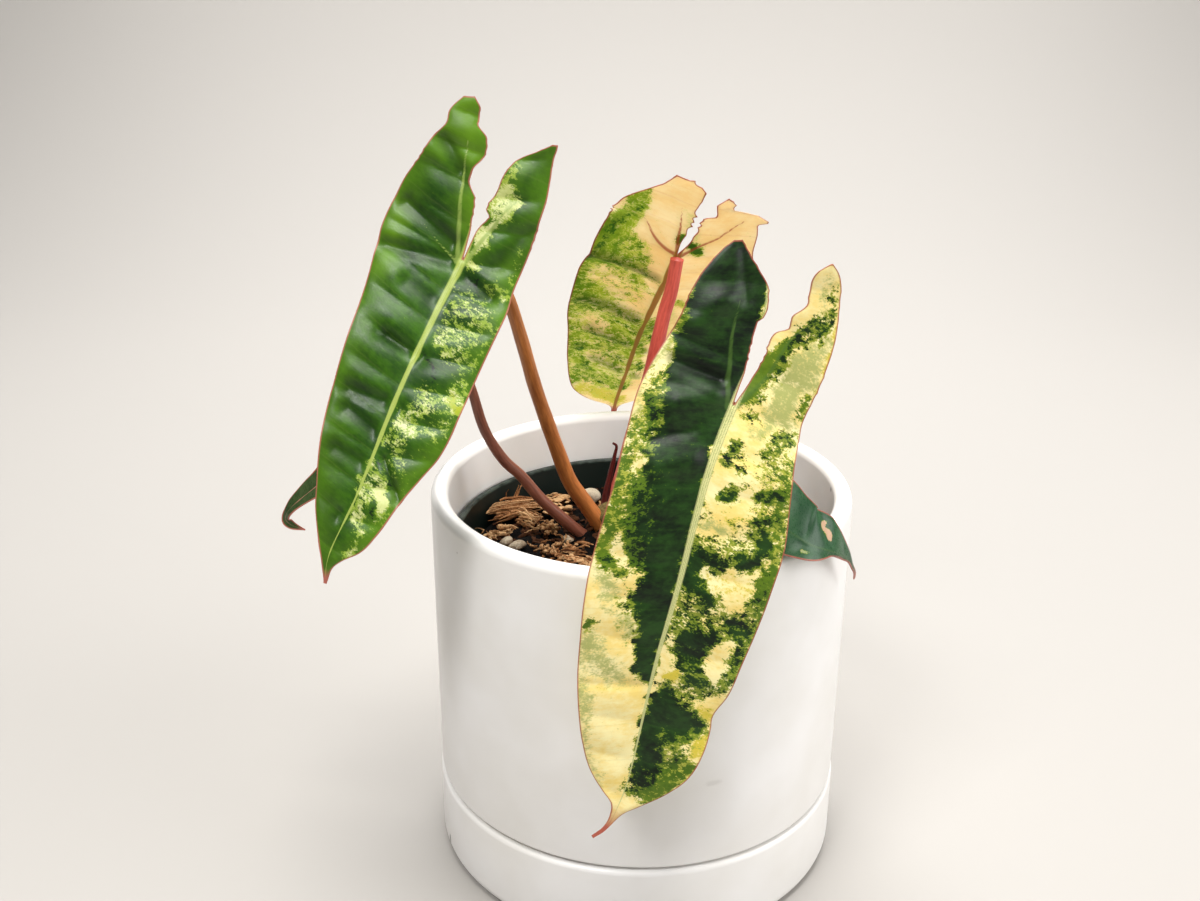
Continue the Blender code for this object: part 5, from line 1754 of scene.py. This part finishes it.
@dataclass(frozen=True)
class NurseryPot:
    """The thin nursery pot inside the white one: a tapering wall, a stepped band and a pierced floor."""

    top: float = 128.5
    radius: float = 69.7
    foot_radius: float = 53.0
    foot: float = 14.8
    wall: float = 1.2
    band: float = 7.0
    band_step: float = 1.4
    band_slope: float = 1.0
    rim_width: float = 2.6
    rim_bevel: float = 0.5
    drain_radius: float = 5.0
    drain_ring: float = 38.0
    drains: int = 6
    drain_sides: int = 24
    sides: int = 144
    plastic: ThinPlastic = ThinPlastic()

    def radius_at(self, height: float) -> float:
        """Returns the outer radius of the tapering wall at a height."""
        share = (height - self.foot) / (self.top - self.foot)
        return self.foot_radius + (self.radius - self.band_step - self.foot_radius) * share

    def build(self) -> bpy.types.Object:
        """Builds the pot and cuts its drain holes.

        Returns:
            The piece.
        """
        band = self.top - self.band
        bore = self.radius - self.rim_width
        bevel = self.rim_bevel
        inside = self.foot + self.wall
        profile = [(self.drain_radius, self.foot), (self.foot_radius, self.foot)]
        profile += [(self.radius_at(band), band), (self.radius, band + self.band_slope)]
        profile += [(self.radius, self.top - bevel), (self.radius - bevel, self.top)]
        profile += [(bore + bevel, self.top), (bore, self.top - bevel)]
        profile += [(self.foot_radius - self.wall, inside), (self.drain_radius, inside)]
        pot = turned("nursery_pot_moulded", profile, self.sides, closed_loop=True)
        low, high = self.foot - self.wall, self.foot + 3 * self.wall
        drain = [(0.0, low), (self.drain_radius, low), (self.drain_radius, high), (0.0, high)]
        cutters = []
        for k in range(self.drains):
            angle = 2 * math.pi * k / self.drains
            axis = (self.drain_ring * math.cos(angle), self.drain_ring * math.sin(angle))
            cutters.append(turned(f"drain_cutter_{k}", drain, self.drain_sides, axis=axis))
            cut = pot.modifiers.new(cutters[-1].name, "BOOLEAN")
            cut.operation = "DIFFERENCE"
            cut.solver = "EXACT"
            cut.object = cutters[-1]
        graph = bpy.context.evaluated_depsgraph_get()
        mesh = bpy.data.meshes.new_from_object(pot.evaluated_get(graph))
        pot.modifiers.clear()
        pot.data = mesh
        for cutter in cutters:
            bpy.data.objects.remove(cutter, do_unlink=True)
        return pot

    def make(self) -> None:
        """Builds and dresses the pot."""
        dress(self.build(), self.plastic.material(self.top), "nursery_plastic", "nursery_pot")


# Potting mix and stem


@dataclass(frozen=True)
class Husk:
    """Dry coconut husk and pine bark: a matt, fibrous tan to brown, with painted shade making it darker low
    down among the pieces.
    """

    name: str = "dry_coconut_husk_and_bark"
    pale: str = "#D2AA7C"
    middle: str = "#9C6A42"
    deep: str = "#4A2C1A"
    roughness: float = 0.88
    # Heights in metres over which the painted shade low in the mix fades out, and how far it shifts the tint
    # there.
    painted_shade_heights: Pair = (0.1178, 0.1208)
    painted_shade_shift: Pair = (-0.85, 0.05)

    def material(self) -> bpy.types.Material:
        """Builds the material. The pieces' "tint" attribute runs from deep at 0 to pale at 1.

        Returns:
            The node material.
        """
        made, tree = new_material(self.name)
        spot = add_node(tree, "ShaderNodeTexCoord", output="Object")
        level = add_node(tree, "ShaderNodeAttribute", output="Fac", attribute_name="tint")
        # Husk fibres are 0.2 mm thick and are drawn at 0.6 mm.
        fibres = {"Vector": spot, "Scale": 1 / 0.0012, "Detail": 3.0, "Distortion": 1.5}
        fibre = add_node(tree, "ShaderNodeTexNoise", fibres)
        patchy = add_node(tree, "ShaderNodeTexNoise", {"Vector": spot, "Scale": 1 / 0.006, "Detail": 2.0})
        height = add_node(tree, "ShaderNodeSeparateXYZ", {0: spot}, "Z")
        for value, low, high, least, most in (
            (fibre, 0.3, 0.7, -0.28, 0.28),
            (patchy, 0.3, 0.7, -0.18, 0.18),
            # Painted shade: darker below the first height, a little paler above the second.
            (height, *self.painted_shade_heights, *self.painted_shade_shift),
        ):
            limits = {"Value": value, "From Min": low, "From Max": high, "To Min": least, "To Max": most}
            shift = add_node(tree, "ShaderNodeMapRange", limits)
            level = add_node(tree, "ShaderNodeMath", {0: level, 1: shift}, operation="ADD")
        color = linear(self.deep)
        for low, high, paint in ((0.0, 0.5, self.middle), (0.5, 1.0, self.pale)):
            share = add_node(tree, "ShaderNodeMapRange", {"Value": level, "From Min": low, "From Max": high})
            paints = {"Factor_Float": share, "A_Color": color, "B_Color": linear(paint)}
            color = add_node(tree, "ShaderNodeMix", paints, "Result_Color", data_type="RGBA")
        look = {"Base Color": color, "Roughness": self.roughness, "Specular IOR Level": 0.15}
        add_body(tree, look, fibre, (0.7, 0.0004))
        return made


# The bed is painted near black: the peat's own dark brown, with painted shade for the gaps between the chips.
PEAT_AND_GAP_SHADE = Husk("damp_peat_and_bark_fines", "#2E1D12", "#170E08", "#050302", 0.95)
PUMICE = Husk("pumice_and_pale_bark_stones", "#D2C6B0", "#A5927A", "#5E4A38", 0.8)
STEM_BARK = Husk("young_stem_bark_with_leaf_scars", "#9A8A50", "#6A5A34", "#3A2C1C", 0.7)


@dataclass(frozen=True)
class Bundle:
    """A frayed bundle of husk fibres between two places, or a single root or splinter."""

    start: Point
    end: Point
    strands: int
    spread: float
    radius: float
    tint: float

    def chains(self, rng: np.random.Generator) -> Shells:
        """Lays out the strands.

        Args:
            rng: The seeded source of their unevenness.

        Returns:
            Centres, radii and tint of each strand.
        """
        a, b = np.array(self.start), np.array(self.end)
        found = []
        for _ in range(self.strands):
            first, last = np.sort(rng.uniform(0, 1, 2)) if self.strands > 1 else (0.0, 1.0)
            last = min(1.08, last + 0.35) if self.strands > 1 else 1.0
            away = rng.normal(0, self.spread, 3) * (1.0, 1.0, 0.45)
            share = np.linspace(first, last, 8)[:, None]
            bow = np.sin(np.pi * share) * rng.normal(0, 0.35 * self.spread + 0.2, 3)
            stray = rng.normal(0, 0.12 * self.spread, (8, 3)) * (1.0, 1.0, 0.6)
            line = a + (b - a) * share + away + bow + stray
            line[:, 2] = np.maximum(line[:, 2], LOOSE_FLOOR)
            reach = np.hypot(line[:, 0], line[:, 1])
            line[:, :2] *= np.minimum(1.0, LOOSE_REACH / reach)[:, None]
            taper = np.clip(1.25 - 1.1 * np.abs(2 * share[:, 0] - 1), 0.35, 1)
            radii = self.radius * rng.uniform(0.6, 1.3) * taper
            found.append((line, radii, float(np.clip(self.tint + rng.normal(0, 0.18), 0, 1))))
        return found


@dataclass(frozen=True)
class Clump:
    """A clump of crumbled husk: uneven lumps that pile up round a place."""

    centre: Point
    reach: Point
    lumps: int
    lump: Point
    tint: float
    roughness: float = 0.5
    detail: int = 2

    def shells(self, rng: np.random.Generator) -> Shells:
        """Shapes the lumps.

        Args:
            rng: The seeded source of their unevenness.

        Returns:
            Places, triangles and tint of each lump.
        """
        bm = bmesh.new()
        bmesh.ops.create_icosphere(bm, subdivisions=self.detail, radius=1.0)
        ball = np.array([vertex.co[:] for vertex in bm.verts])
        faces = np.array([[vertex.index for vertex in face.verts] for face in bm.faces])
        bm.free()
        found = []
        for _ in range(self.lumps):
            size = np.array(self.lump) * rng.uniform(0.55, 1.25)
            phase = rng.uniform(0, 6.28, (4, 3))
            pitch = rng.uniform(1.2, 3.4, (4, 3))
            uneven = sum(np.sin(ball @ (pitch[k] * [1, -1, 1][k % 3]) + phase[k, 0]) for k in range(4)) / 4
            shape = ball * (1 + self.roughness * uneven[:, None]) * size
            turn, lean = rng.uniform(0, 2 * math.pi), rng.normal(0, 0.35)
            for angle, axis in ((lean, "X"), (turn, "Z")):
                shape = shape @ np.array(Matrix.Rotation(angle, 3, axis)).T
            away = rng.uniform(-1, 1, 3) * self.reach if self.lumps > 1 else np.zeros(3)
            place = np.array(self.centre) + away
            found.append((shape + place, faces, float(self.tint + rng.normal(0, 0.16))))
        return found


@dataclass(frozen=True)
class Flakes:
    """A piece of outer bark: rows of thin overlapping scales on a low dome."""

    centre: Point
    size: Pair
    rows: int
    columns: int
    flake: Point
    dome: float
    tint: float

    def shells(self, rng: np.random.Generator) -> Shells:
        """Shapes the scales.

        Args:
            rng: The seeded source of their unevenness.

        Returns:
            Places, triangles and tint of each scale.
        """
        found = []
        for row in range(self.rows):
            for column in range(self.columns):
                across = (column + 0.5 * (row % 2)) / self.columns - 0.5 + rng.normal(0, 0.03)
                along = row / (self.rows - 1) - 0.5 + rng.normal(0, 0.02)
                if across * across + along * along > 0.27:
                    continue
                place = np.array((across * self.size[0], along * self.size[1], 0.0))
                place[2] = self.dome * (1 - 3.2 * (across * across + along * along)) + 0.12 * row
                lump = Clump((0.0, 0.0, 0.0), (0.0, 0.0, 0.0), 1, self.flake, self.tint, 0.2)
                shape, faces, tint = lump.shells(rng)[0]
                lean = np.array(Matrix.Rotation(math.radians(-16), 3, "X")).T
                found.append((shape @ lean + place + np.array(self.centre), faces, tint))
        return found


@dataclass(frozen=True)
class PottingMix:
    """The coarse mix: a dark bed, scattered chips and fibres, and the photograph's big husk pieces."""

    top: float = 118.0
    foot: float = 16.6
    foot_radius: float = 50.2
    radius: float = 62.8
    uneven: float = 1.5
    sides: int = 144
    rings: int = 46
    fibre_sides: int = 7
    chips_per_square_metre: float = 60000.0
    seed: int = 7
    bundles: tuple[Bundle, ...] = (
        Bundle((-61, 26, 122.5), (-38, 36, 121.8), 60, 1.7, 0.42, 0.6),
        Bundle((-58, 20, 120.5), (-45, 31, 120.0), 24, 1.4, 0.40, 0.5),
        Bundle((-55, 38, 121.0), (-52, 37, 127.0), 1, 0.3, 0.35, 0.45),
        Bundle((-51, 36, 121.0), (-48, 41, 127.0), 3, 0.6, 0.55, 0.5),
        Bundle((-48, 28, 120.5), (-40, 20, 120.5), 26, 2.6, 0.5, 0.62),
        Bundle((-58, 12, 120.5), (-51, 14, 120.5), 16, 1.8, 0.75, 0.72),
        Bundle((-25, 1.5, 120.5), (-18, -1.5, 121.0), 1, 0.6, 1.0, 0.35),
        Bundle((-33, -8, 119.5), (-20, -12, 120.0), 22, 1.8, 0.45, 0.55),
        Bundle((-15, 42, 119.5), (-14, 30, 120.5), 24, 1.6, 0.5, 0.6),
        Bundle((12, 40, 119.5), (30, 28, 120.5), 30, 2.2, 0.45, 0.5),
        Bundle((30, -20, 119.5), (42, -2, 120.5), 30, 2.2, 0.45, 0.5),
        Bundle((-2, -40, 119.5), (-18, -30, 120.5), 30, 2.2, 0.45, 0.45),
    )
    clumps: tuple[Clump, ...] = (
        Clump((-43, 22, 120.4), (3.2, 3.0, 1.2), 24, (1.27, 0.6, 0.6), 0.7),
        Clump((-35, 15, 120.6), (3.6, 3.4, 1.4), 34, (1.27, 0.6, 0.6), 0.78),
        Clump((-57, 9, 120.0), (2.6, 2.4, 0.9), 20, (1.44, 0.6, 0.6), 0.85),
        Clump((-34, -3, 120.2), (3.4, 3.0, 1.2), 27, (1.19, 0.6, 0.6), 0.7),
        Clump((-26, 0, 120.0), (2.4, 2.2, 1.0), 14, (1.19, 0.6, 0.6), 0.66),
        Clump((-28, -11, 120.0), (3.6, 2.0, 1.0), 20, (1.19, 0.6, 0.6), 0.66),
        Clump((-20, -15, 120.2), (3.6, 2.4, 1.2), 26, (1.36, 0.66, 0.68), 0.68),
        Clump((10, -30, 119.4), (6.0, 5.0, 1.2), 47, (1.53, 0.72, 0.68), 0.5),
        Clump((36, 16, 119.4), (6.0, 5.0, 1.2), 47, (1.53, 0.72, 0.68), 0.55),
        Clump((14, 48, 119.4), (5.0, 4.0, 1.2), 36, (1.53, 0.72, 0.68), 0.5),
        Clump((-38, -32, 119.4), (5.0, 4.0, 1.2), 36, (1.53, 0.72, 0.68), 0.5),
    )
    bark: tuple[Flakes, ...] = (
        Flakes((-33.5, 37.0, 119.4), (15.0, 21.0), 8, 5, (2.3, 1.7, 0.6), 2.0, 0.9),
        Flakes((28.0, 44.0, 118.8), (13.0, 12.0), 5, 4, (2.3, 1.7, 0.6), 1.6, 0.7),
    )
    stones: tuple[Clump, ...] = (
        Clump((-46.5, 1.0, 119.6), (0, 0, 0), 1, (5.4, 3.6, 2.2), 0.4, 0.5, 4),
        Clump((-51.0, 3.5, 119.6), (0, 0, 0), 1, (3.4, 2.4, 1.8), 0.6, 0.5, 4),
        Clump((-27.4, 6.5, 119.8), (0, 0, 0), 1, (4.2, 3.0, 2.2), 0.7, 0.5, 4),
        Clump((-20.5, 46.0, 120.0), (0, 0, 0), 1, (5.0, 3.0, 3.4), 0.95, 0.5, 4),
        Clump((-45.5, 42.0, 120.0), (0, 0, 0), 1, (2.4, 1.7, 1.6), 0.95, 0.45, 3),
        Clump((24.0, 4.0, 119.8), (0, 0, 0), 1, (3.8, 3.0, 2.6), 0.8, 0.5, 4),
        Clump((6.0, 52.0, 119.6), (0, 0, 0), 1, (3.4, 2.8, 2.4), 0.7, 0.5, 4),
    )

    def build_bed(self) -> bpy.types.Object:
        """Builds the bed that fills the nursery pot, with an uneven top.

        Returns:
            The piece.
        """
        profile = [(0.0, self.foot), (self.foot_radius, self.foot), (self.radius, self.top)]
        profile += [(self.radius * (1 - k / self.rings), self.top) for k in range(1, self.rings + 1)]
        bed = turned("mix_bed", profile, self.sides)
        places = np.empty(len(bed.data.vertices) * 3)
        bed.data.vertices.foreach_get("co", places)
        x, y, z = places.reshape(-1, 3).T / MM
        lumps = np.sin(x / 2.1 + 1.7 * np.sin(y / 3.3)) * np.sin(y / 2.4 + 1.3 * np.sin(x / 4.1))
        fine = np.sin(x / 0.9 + np.sin(y / 1.3)) * np.sin(y / 1.1 + 2.0)
        inside = np.clip((self.radius - 0.8 - np.hypot(x, y)) / 2, 0, 1) * (z > self.top - 1)
        z = z + self.uneven * (0.75 * lumps + 0.25 * fine) * inside
        bed.data.vertices.foreach_set("co", (np.stack([x, y, z], -1) * MM).ravel())
        return bed

    def build_scatter(self, bed: bpy.types.Object) -> bpy.types.Object:
        """Scatters small husk chips over a copy of the bed's top with the chip tree.

        Args:
            bed: The bed.

        Returns:
            The chips as one piece.
        """
        source = bpy.data.objects.new("husk_chips", bed.data.copy())
        bpy.context.scene.collection.objects.link(source)
        inputs = {
            "Density": self.chips_per_square_metre,
            "Reach": (self.radius - 4) * MM,
            "Top": (self.top - 2.5) * MM,
            "Seed": self.seed,
        }
        return grown(source, chip_tree(), inputs)

    def build_fibres(self) -> bpy.types.Object:
        """Builds the bundles of fibres with the stalk tree.

        Returns:
            The fibres as one piece.
        """
        rng = np.random.default_rng(self.seed)
        places, radii, tints, edges = [], [], [], []
        tufts = []
        for clump in self.clumps:
            # Curls of torn fibre stand out of each clump.
            for _ in range(clump.lumps // 2):
                foot = np.array(clump.centre) + rng.uniform(-1, 1, 3) * clump.reach * (1.2, 1.2, 0.5)
                reach = rng.normal(0, 1, 3) * (2.6, 2.6, 0.9) + (0.0, 0.0, 0.9)
                tufts.append(Bundle(tuple(foot), tuple(foot + reach), 1, 1.6, 0.42, clump.tint - 0.05))
        for bundle in (*self.bundles, *tufts):
            for line, reach, tint in bundle.chains(rng):
                first = len(places)
                places += line.tolist()
                radii += reach.tolist()
                tints += [tint] * len(line)
                edges += [(first + k, first + k + 1) for k in range(len(line) - 1)]
        guide = mesh_object("husk_fibres", np.array(places), edges=edges)
        store(guide, "reach", np.array(radii) * MM)
        store(guide, "tint", np.array(tints))
        return grown(guide, stalk_tree(), {"Sides": self.fibre_sides})

    def build_clumps(self, name: str, clumps: tuple[Clump | Flakes, ...]) -> bpy.types.Object:
        """Builds clumps as one piece with a tint for each lump.

        Args:
            name: The piece's name.
            clumps: The clumps, scales or stones in it.

        Returns:
            The piece.
        """
        rng = np.random.default_rng(self.seed + 1)
        places, faces, tints = [], [], []
        for clump in clumps:
            for shell, corners, tint in clump.shells(rng):
                faces += (corners + len(places)).tolist()
                places += shell.tolist()
                tints += [tint] * len(shell)
        piece = mesh_object(name, np.array(places), faces)
        store(piece, "tint", np.array(tints))
        return piece

    def make(self) -> None:
        """Builds and dresses the bed and everything on it."""
        bed = self.build_bed()
        scatter = self.build_scatter(bed)
        husk = Husk().material()
        dress(bed, PEAT_AND_GAP_SHADE.material(), "bark_mix", "potting_mix")
        dress(scatter, husk, "bark_mix")
        dress(self.build_fibres(), husk, "bark_mix")
        dress(self.build_clumps("husk_crumbs", self.clumps), husk, "bark_mix")
        dress(self.build_clumps("bark_scales", self.bark), husk, "bark_mix")
        dress(self.build_clumps("pale_stones", self.stones), PUMICE.material(), "bark_mix")


def chip_tree() -> bpy.types.NodeTree:
    """Builds the tree that scatters uneven chips over the top of the potting mix.

    Returns:
        The tree.
    """
    sizes = dict.fromkeys(("Density", "Reach", "Top"), "NodeSocketFloat")
    tree = new_tree("chip_scatter", {**sizes, "Seed": "NodeSocketInt"})
    start = add_node(tree, "NodeGroupInput").node.outputs
    spot = add_node(tree, "GeometryNodeInputPosition")
    flat = add_node(tree, "ShaderNodeVectorMath", {0: spot, 1: (1.0, 1.0, 0.0)}, operation="MULTIPLY")
    away = add_node(tree, "ShaderNodeVectorMath", {0: flat}, "Value", operation="LENGTH")
    height = add_node(tree, "ShaderNodeSeparateXYZ", {0: spot}, "Z")
    within = add_node(tree, "ShaderNodeMath", {0: away, 1: start["Reach"]}, operation="LESS_THAN")
    on_top = add_node(tree, "ShaderNodeMath", {0: height, 1: start["Top"]}, operation="GREATER_THAN")
    wanted = add_node(tree, "ShaderNodeMath", {0: within, 1: on_top}, operation="MULTIPLY")
    spread = {"Mesh": start["Geometry"], "Selection": wanted}
    spread.update({name: start[name] for name in ("Density", "Seed")})
    points = add_node(tree, "GeometryNodeDistributePointsOnFaces", spread, "Points")
    chip = add_node(tree, "GeometryNodeMeshIcoSphere", {"Radius": 1.0, "Subdivisions": 2})
    small, large = (0.0007, 0.0005, 0.0003), (0.0032, 0.0014, 0.0010)
    size, turn, tint = (
        add_node(tree, "FunctionNodeRandomValue", limits, output, data_type=kind)
        for limits, output, kind in (
            ({"Min": small, "Max": large, "Seed": 3}, "Value", "FLOAT_VECTOR"),
            ({"Min": (-0.5, -0.5, 0.0), "Max": (0.5, 0.5, 6.283), "Seed": 4}, "Value", "FLOAT_VECTOR"),
            ({"Min_001": -0.1, "Max_001": 0.42, "Seed": 5}, "Value_001", "FLOAT"),
        )
    )
    chips = {"Points": points, "Instance": chip, "Rotation": turn, "Scale": size}
    placed = add_node(tree, "GeometryNodeInstanceOnPoints", chips)
    tinted = {"Geometry": placed, "Name": "tint", "Value": tint}
    kinds = {"data_type": "FLOAT", "domain": "INSTANCE"}
    marked = add_node(tree, "GeometryNodeStoreNamedAttribute", tinted, **kinds)
    real = add_node(tree, "GeometryNodeRealizeInstances", {"Geometry": marked})
    # Chips are 1.5 to 6 mm long, so the unevenness of their faces is drawn at 1.4 mm.
    waver = add_node(tree, "ShaderNodeTexNoise", {"Scale": 1 / 0.0014, "Detail": 1.0}, "Color")
    centred = add_node(tree, "ShaderNodeVectorMath", {0: waver, 1: (0.5, 0.5, 0.5)}, operation="SUBTRACT")
    reach = {0: centred, 1: (0.0018, 0.0018, 0.0012)}
    shift = add_node(tree, "ShaderNodeVectorMath", reach, operation="MULTIPLY")
    rough = add_node(tree, "GeometryNodeSetPosition", {"Geometry": real, "Offset": shift})
    finished = add_node(tree, "GeometryNodeSetMaterial", {"Geometry": rough})
    add_node(tree, "NodeGroupOutput", {"Geometry": finished})
    return tree


@dataclass(frozen=True)
class Stem:
    """The short stem that the stalks spring from, with two swollen rings, standing in the mix."""

    place: Pair = (-11.0, 21.0)
    radius: float = 6.4
    foot: float = 88.0
    top: float = 128.0
    sides: int = 64
    # How much wider the stem is than its radius, by height above its foot.
    swelling: tuple[Pair, ...] = (
        (0, -1.4), (20, -0.6), (28, 0), (31, 0.5), (33, -0.3), (36, 0.1), (38.5, -1.6), (40, -3.6),
    )

    def make(self) -> None:
        """Builds and dresses the stem, whose outline runs smoothly through the CAD's rows."""
        heights = np.linspace(0, self.top - self.foot, 60)
        wider = smooth_through(self.swelling, heights)
        ripple = 0.12 * np.sin(heights * 2.1)
        profile = [(0.0, self.foot)]
        profile += [(self.radius + w + r, self.foot + h) for w, r, h in zip(wider, ripple, heights)]
        profile += [(0.0, self.top)]
        piece = turned("stem_with_leaf_scars", profile, self.sides, axis=self.place)
        store(piece, "tint", np.full(len(piece.data.vertices), 0.5))
        dress(piece, STEM_BARK.material(), "stem_bark", "stem")


# Studio


@dataclass(frozen=True)
class Studio:
    """A plain pale floor, soft studio light, and the camera at the photograph's viewing angle."""

    camera_place: Point = (-15.17, -438.8, 333.4)
    right: Point = (0.99999, 0.00194, 0.00488)
    forward: Point = (0.0, 0.92932, -0.36927)
    focal: float = 38.5
    floor_color: str = "#ABA7A2"
    floor_reach: float = 3000.0
    sweep_start: float = 700.0
    sweep_radius: float = 500.0
    backdrop_top: float = 2500.0
    lit: Point = (0.0, 0.0, 0.13)

    def add_camera(self) -> None:
        """Adds the camera where the photograph's was."""
        data = bpy.data.cameras.new("photo_camera")
        data.sensor_width = 36.0
        data.lens = self.focal
        data.clip_start = 0.01
        camera = bpy.data.objects.new("photo_camera", data)
        back = -Vector(self.forward).normalized()
        right = Vector(self.right).normalized()
        up = back.cross(right).normalized()
        right = up.cross(back)
        turn = Matrix((right, up, back)).transposed().to_4x4()
        camera.matrix_world = Matrix.Translation(Vector(self.camera_place) * MM) @ turn
        bpy.context.scene.collection.objects.link(camera)
        bpy.context.scene.camera = camera

    def add_floor(self) -> None:
        """Adds the pale floor, which sweeps up behind as a backdrop."""
        made, tree = new_material("matt_studio_paper")
        spot = add_node(tree, "ShaderNodeTexCoord", output="Object")
        fibre = add_node(tree, "ShaderNodeTexNoise", {"Vector": spot, "Scale": 1 / 0.002, "Detail": 2.0})
        add_body(tree, {"Base Color": linear(self.floor_color), "Roughness": 0.9}, fibre, (0.05, 0.0002))
        section = [(-self.floor_reach, 0.0)]
        section += arc((self.sweep_start, self.sweep_radius), self.sweep_radius, -90, 0, 24)
        section += [(self.sweep_start + self.sweep_radius, self.backdrop_top)]
        places = [(side * self.floor_reach, y, z) for y, z in section for side in (-1, 1)]
        faces = [(2 * k, 2 * k + 1, 2 * k + 3, 2 * k + 2) for k in range(len(section) - 1)]
        floor = mesh_object("studio_floor", np.array(places), faces)
        floor.data.materials.append(made)

    def add_light(self, name: str, place: Point, size: float, power: float, color: str) -> None:
        """Adds one square soft light that faces the plant.

        Args:
            name: The light's name.
            place: Where it stands, in metres.
            size: Its side in metres.
            power: Its power in watts.
            color: Its colour.
        """
        data = bpy.data.lights.new(name, "AREA")
        data.shape = "SQUARE"
        data.size = size
        data.energy = power
        data.color = linear(color)[:3]
        lamp = bpy.data.objects.new(name, data)
        lamp.location = place
        lamp.rotation_euler = (Vector(self.lit) - Vector(place)).to_track_quat("-Z", "Y").to_euler()
        bpy.context.scene.collection.objects.link(lamp)

    def make(self) -> None:
        """Adds floor, lights and camera, and sets how colours show."""
        self.add_floor()
        for light in (
            ("window_right", (1.2, -0.35, 0.75), 0.9, 13.5, "#FFFFFF"),
            ("window_front", (-0.42, -0.7, 1.15), 0.3, 8.0, "#FFFFFF"),
            ("ceiling_window", (-0.05, -0.33, 1.35), 0.5, 10.0, "#FFFDF8"),
            ("ceiling_bounce", (0.1, 0.5, 1.5), 1.5, 17.0, "#FFFFFF"),
            ("wall_glow", (0.0, 1.05, 0.7), 1.2, 16.0, "#FFFFFF"),
        ):
            self.add_light(*light)
        world = bpy.data.worlds.new("studio_white")
        bpy.context.scene.world = world
        world.use_nodes = True
        tree = world.node_tree
        tree.nodes.clear()
        sky = add_node(tree, "ShaderNodeBackground", {"Color": linear("#FFFFFF"), "Strength": 0.2})
        add_node(tree, "ShaderNodeOutputWorld", {"Surface": sky})
        bpy.context.scene.view_settings.view_transform = "Standard"
        self.add_camera()


def main() -> None:
    """Builds and dresses every piece, in the order pots, plant, studio."""
    logging.basicConfig(level=logging.INFO, format="%(name)s %(message)s")
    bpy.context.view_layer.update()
    Ceramics().make()
    NurseryPot().make()
    PottingMix().make()
    Stem().make()
    for stalk in STALKS:
        stalk.dress(stalk.build())
    for leaf in LEAVES:
        leaf.dress(leaf.build())
    Studio().make()


if __name__ == "__main__":
    main()
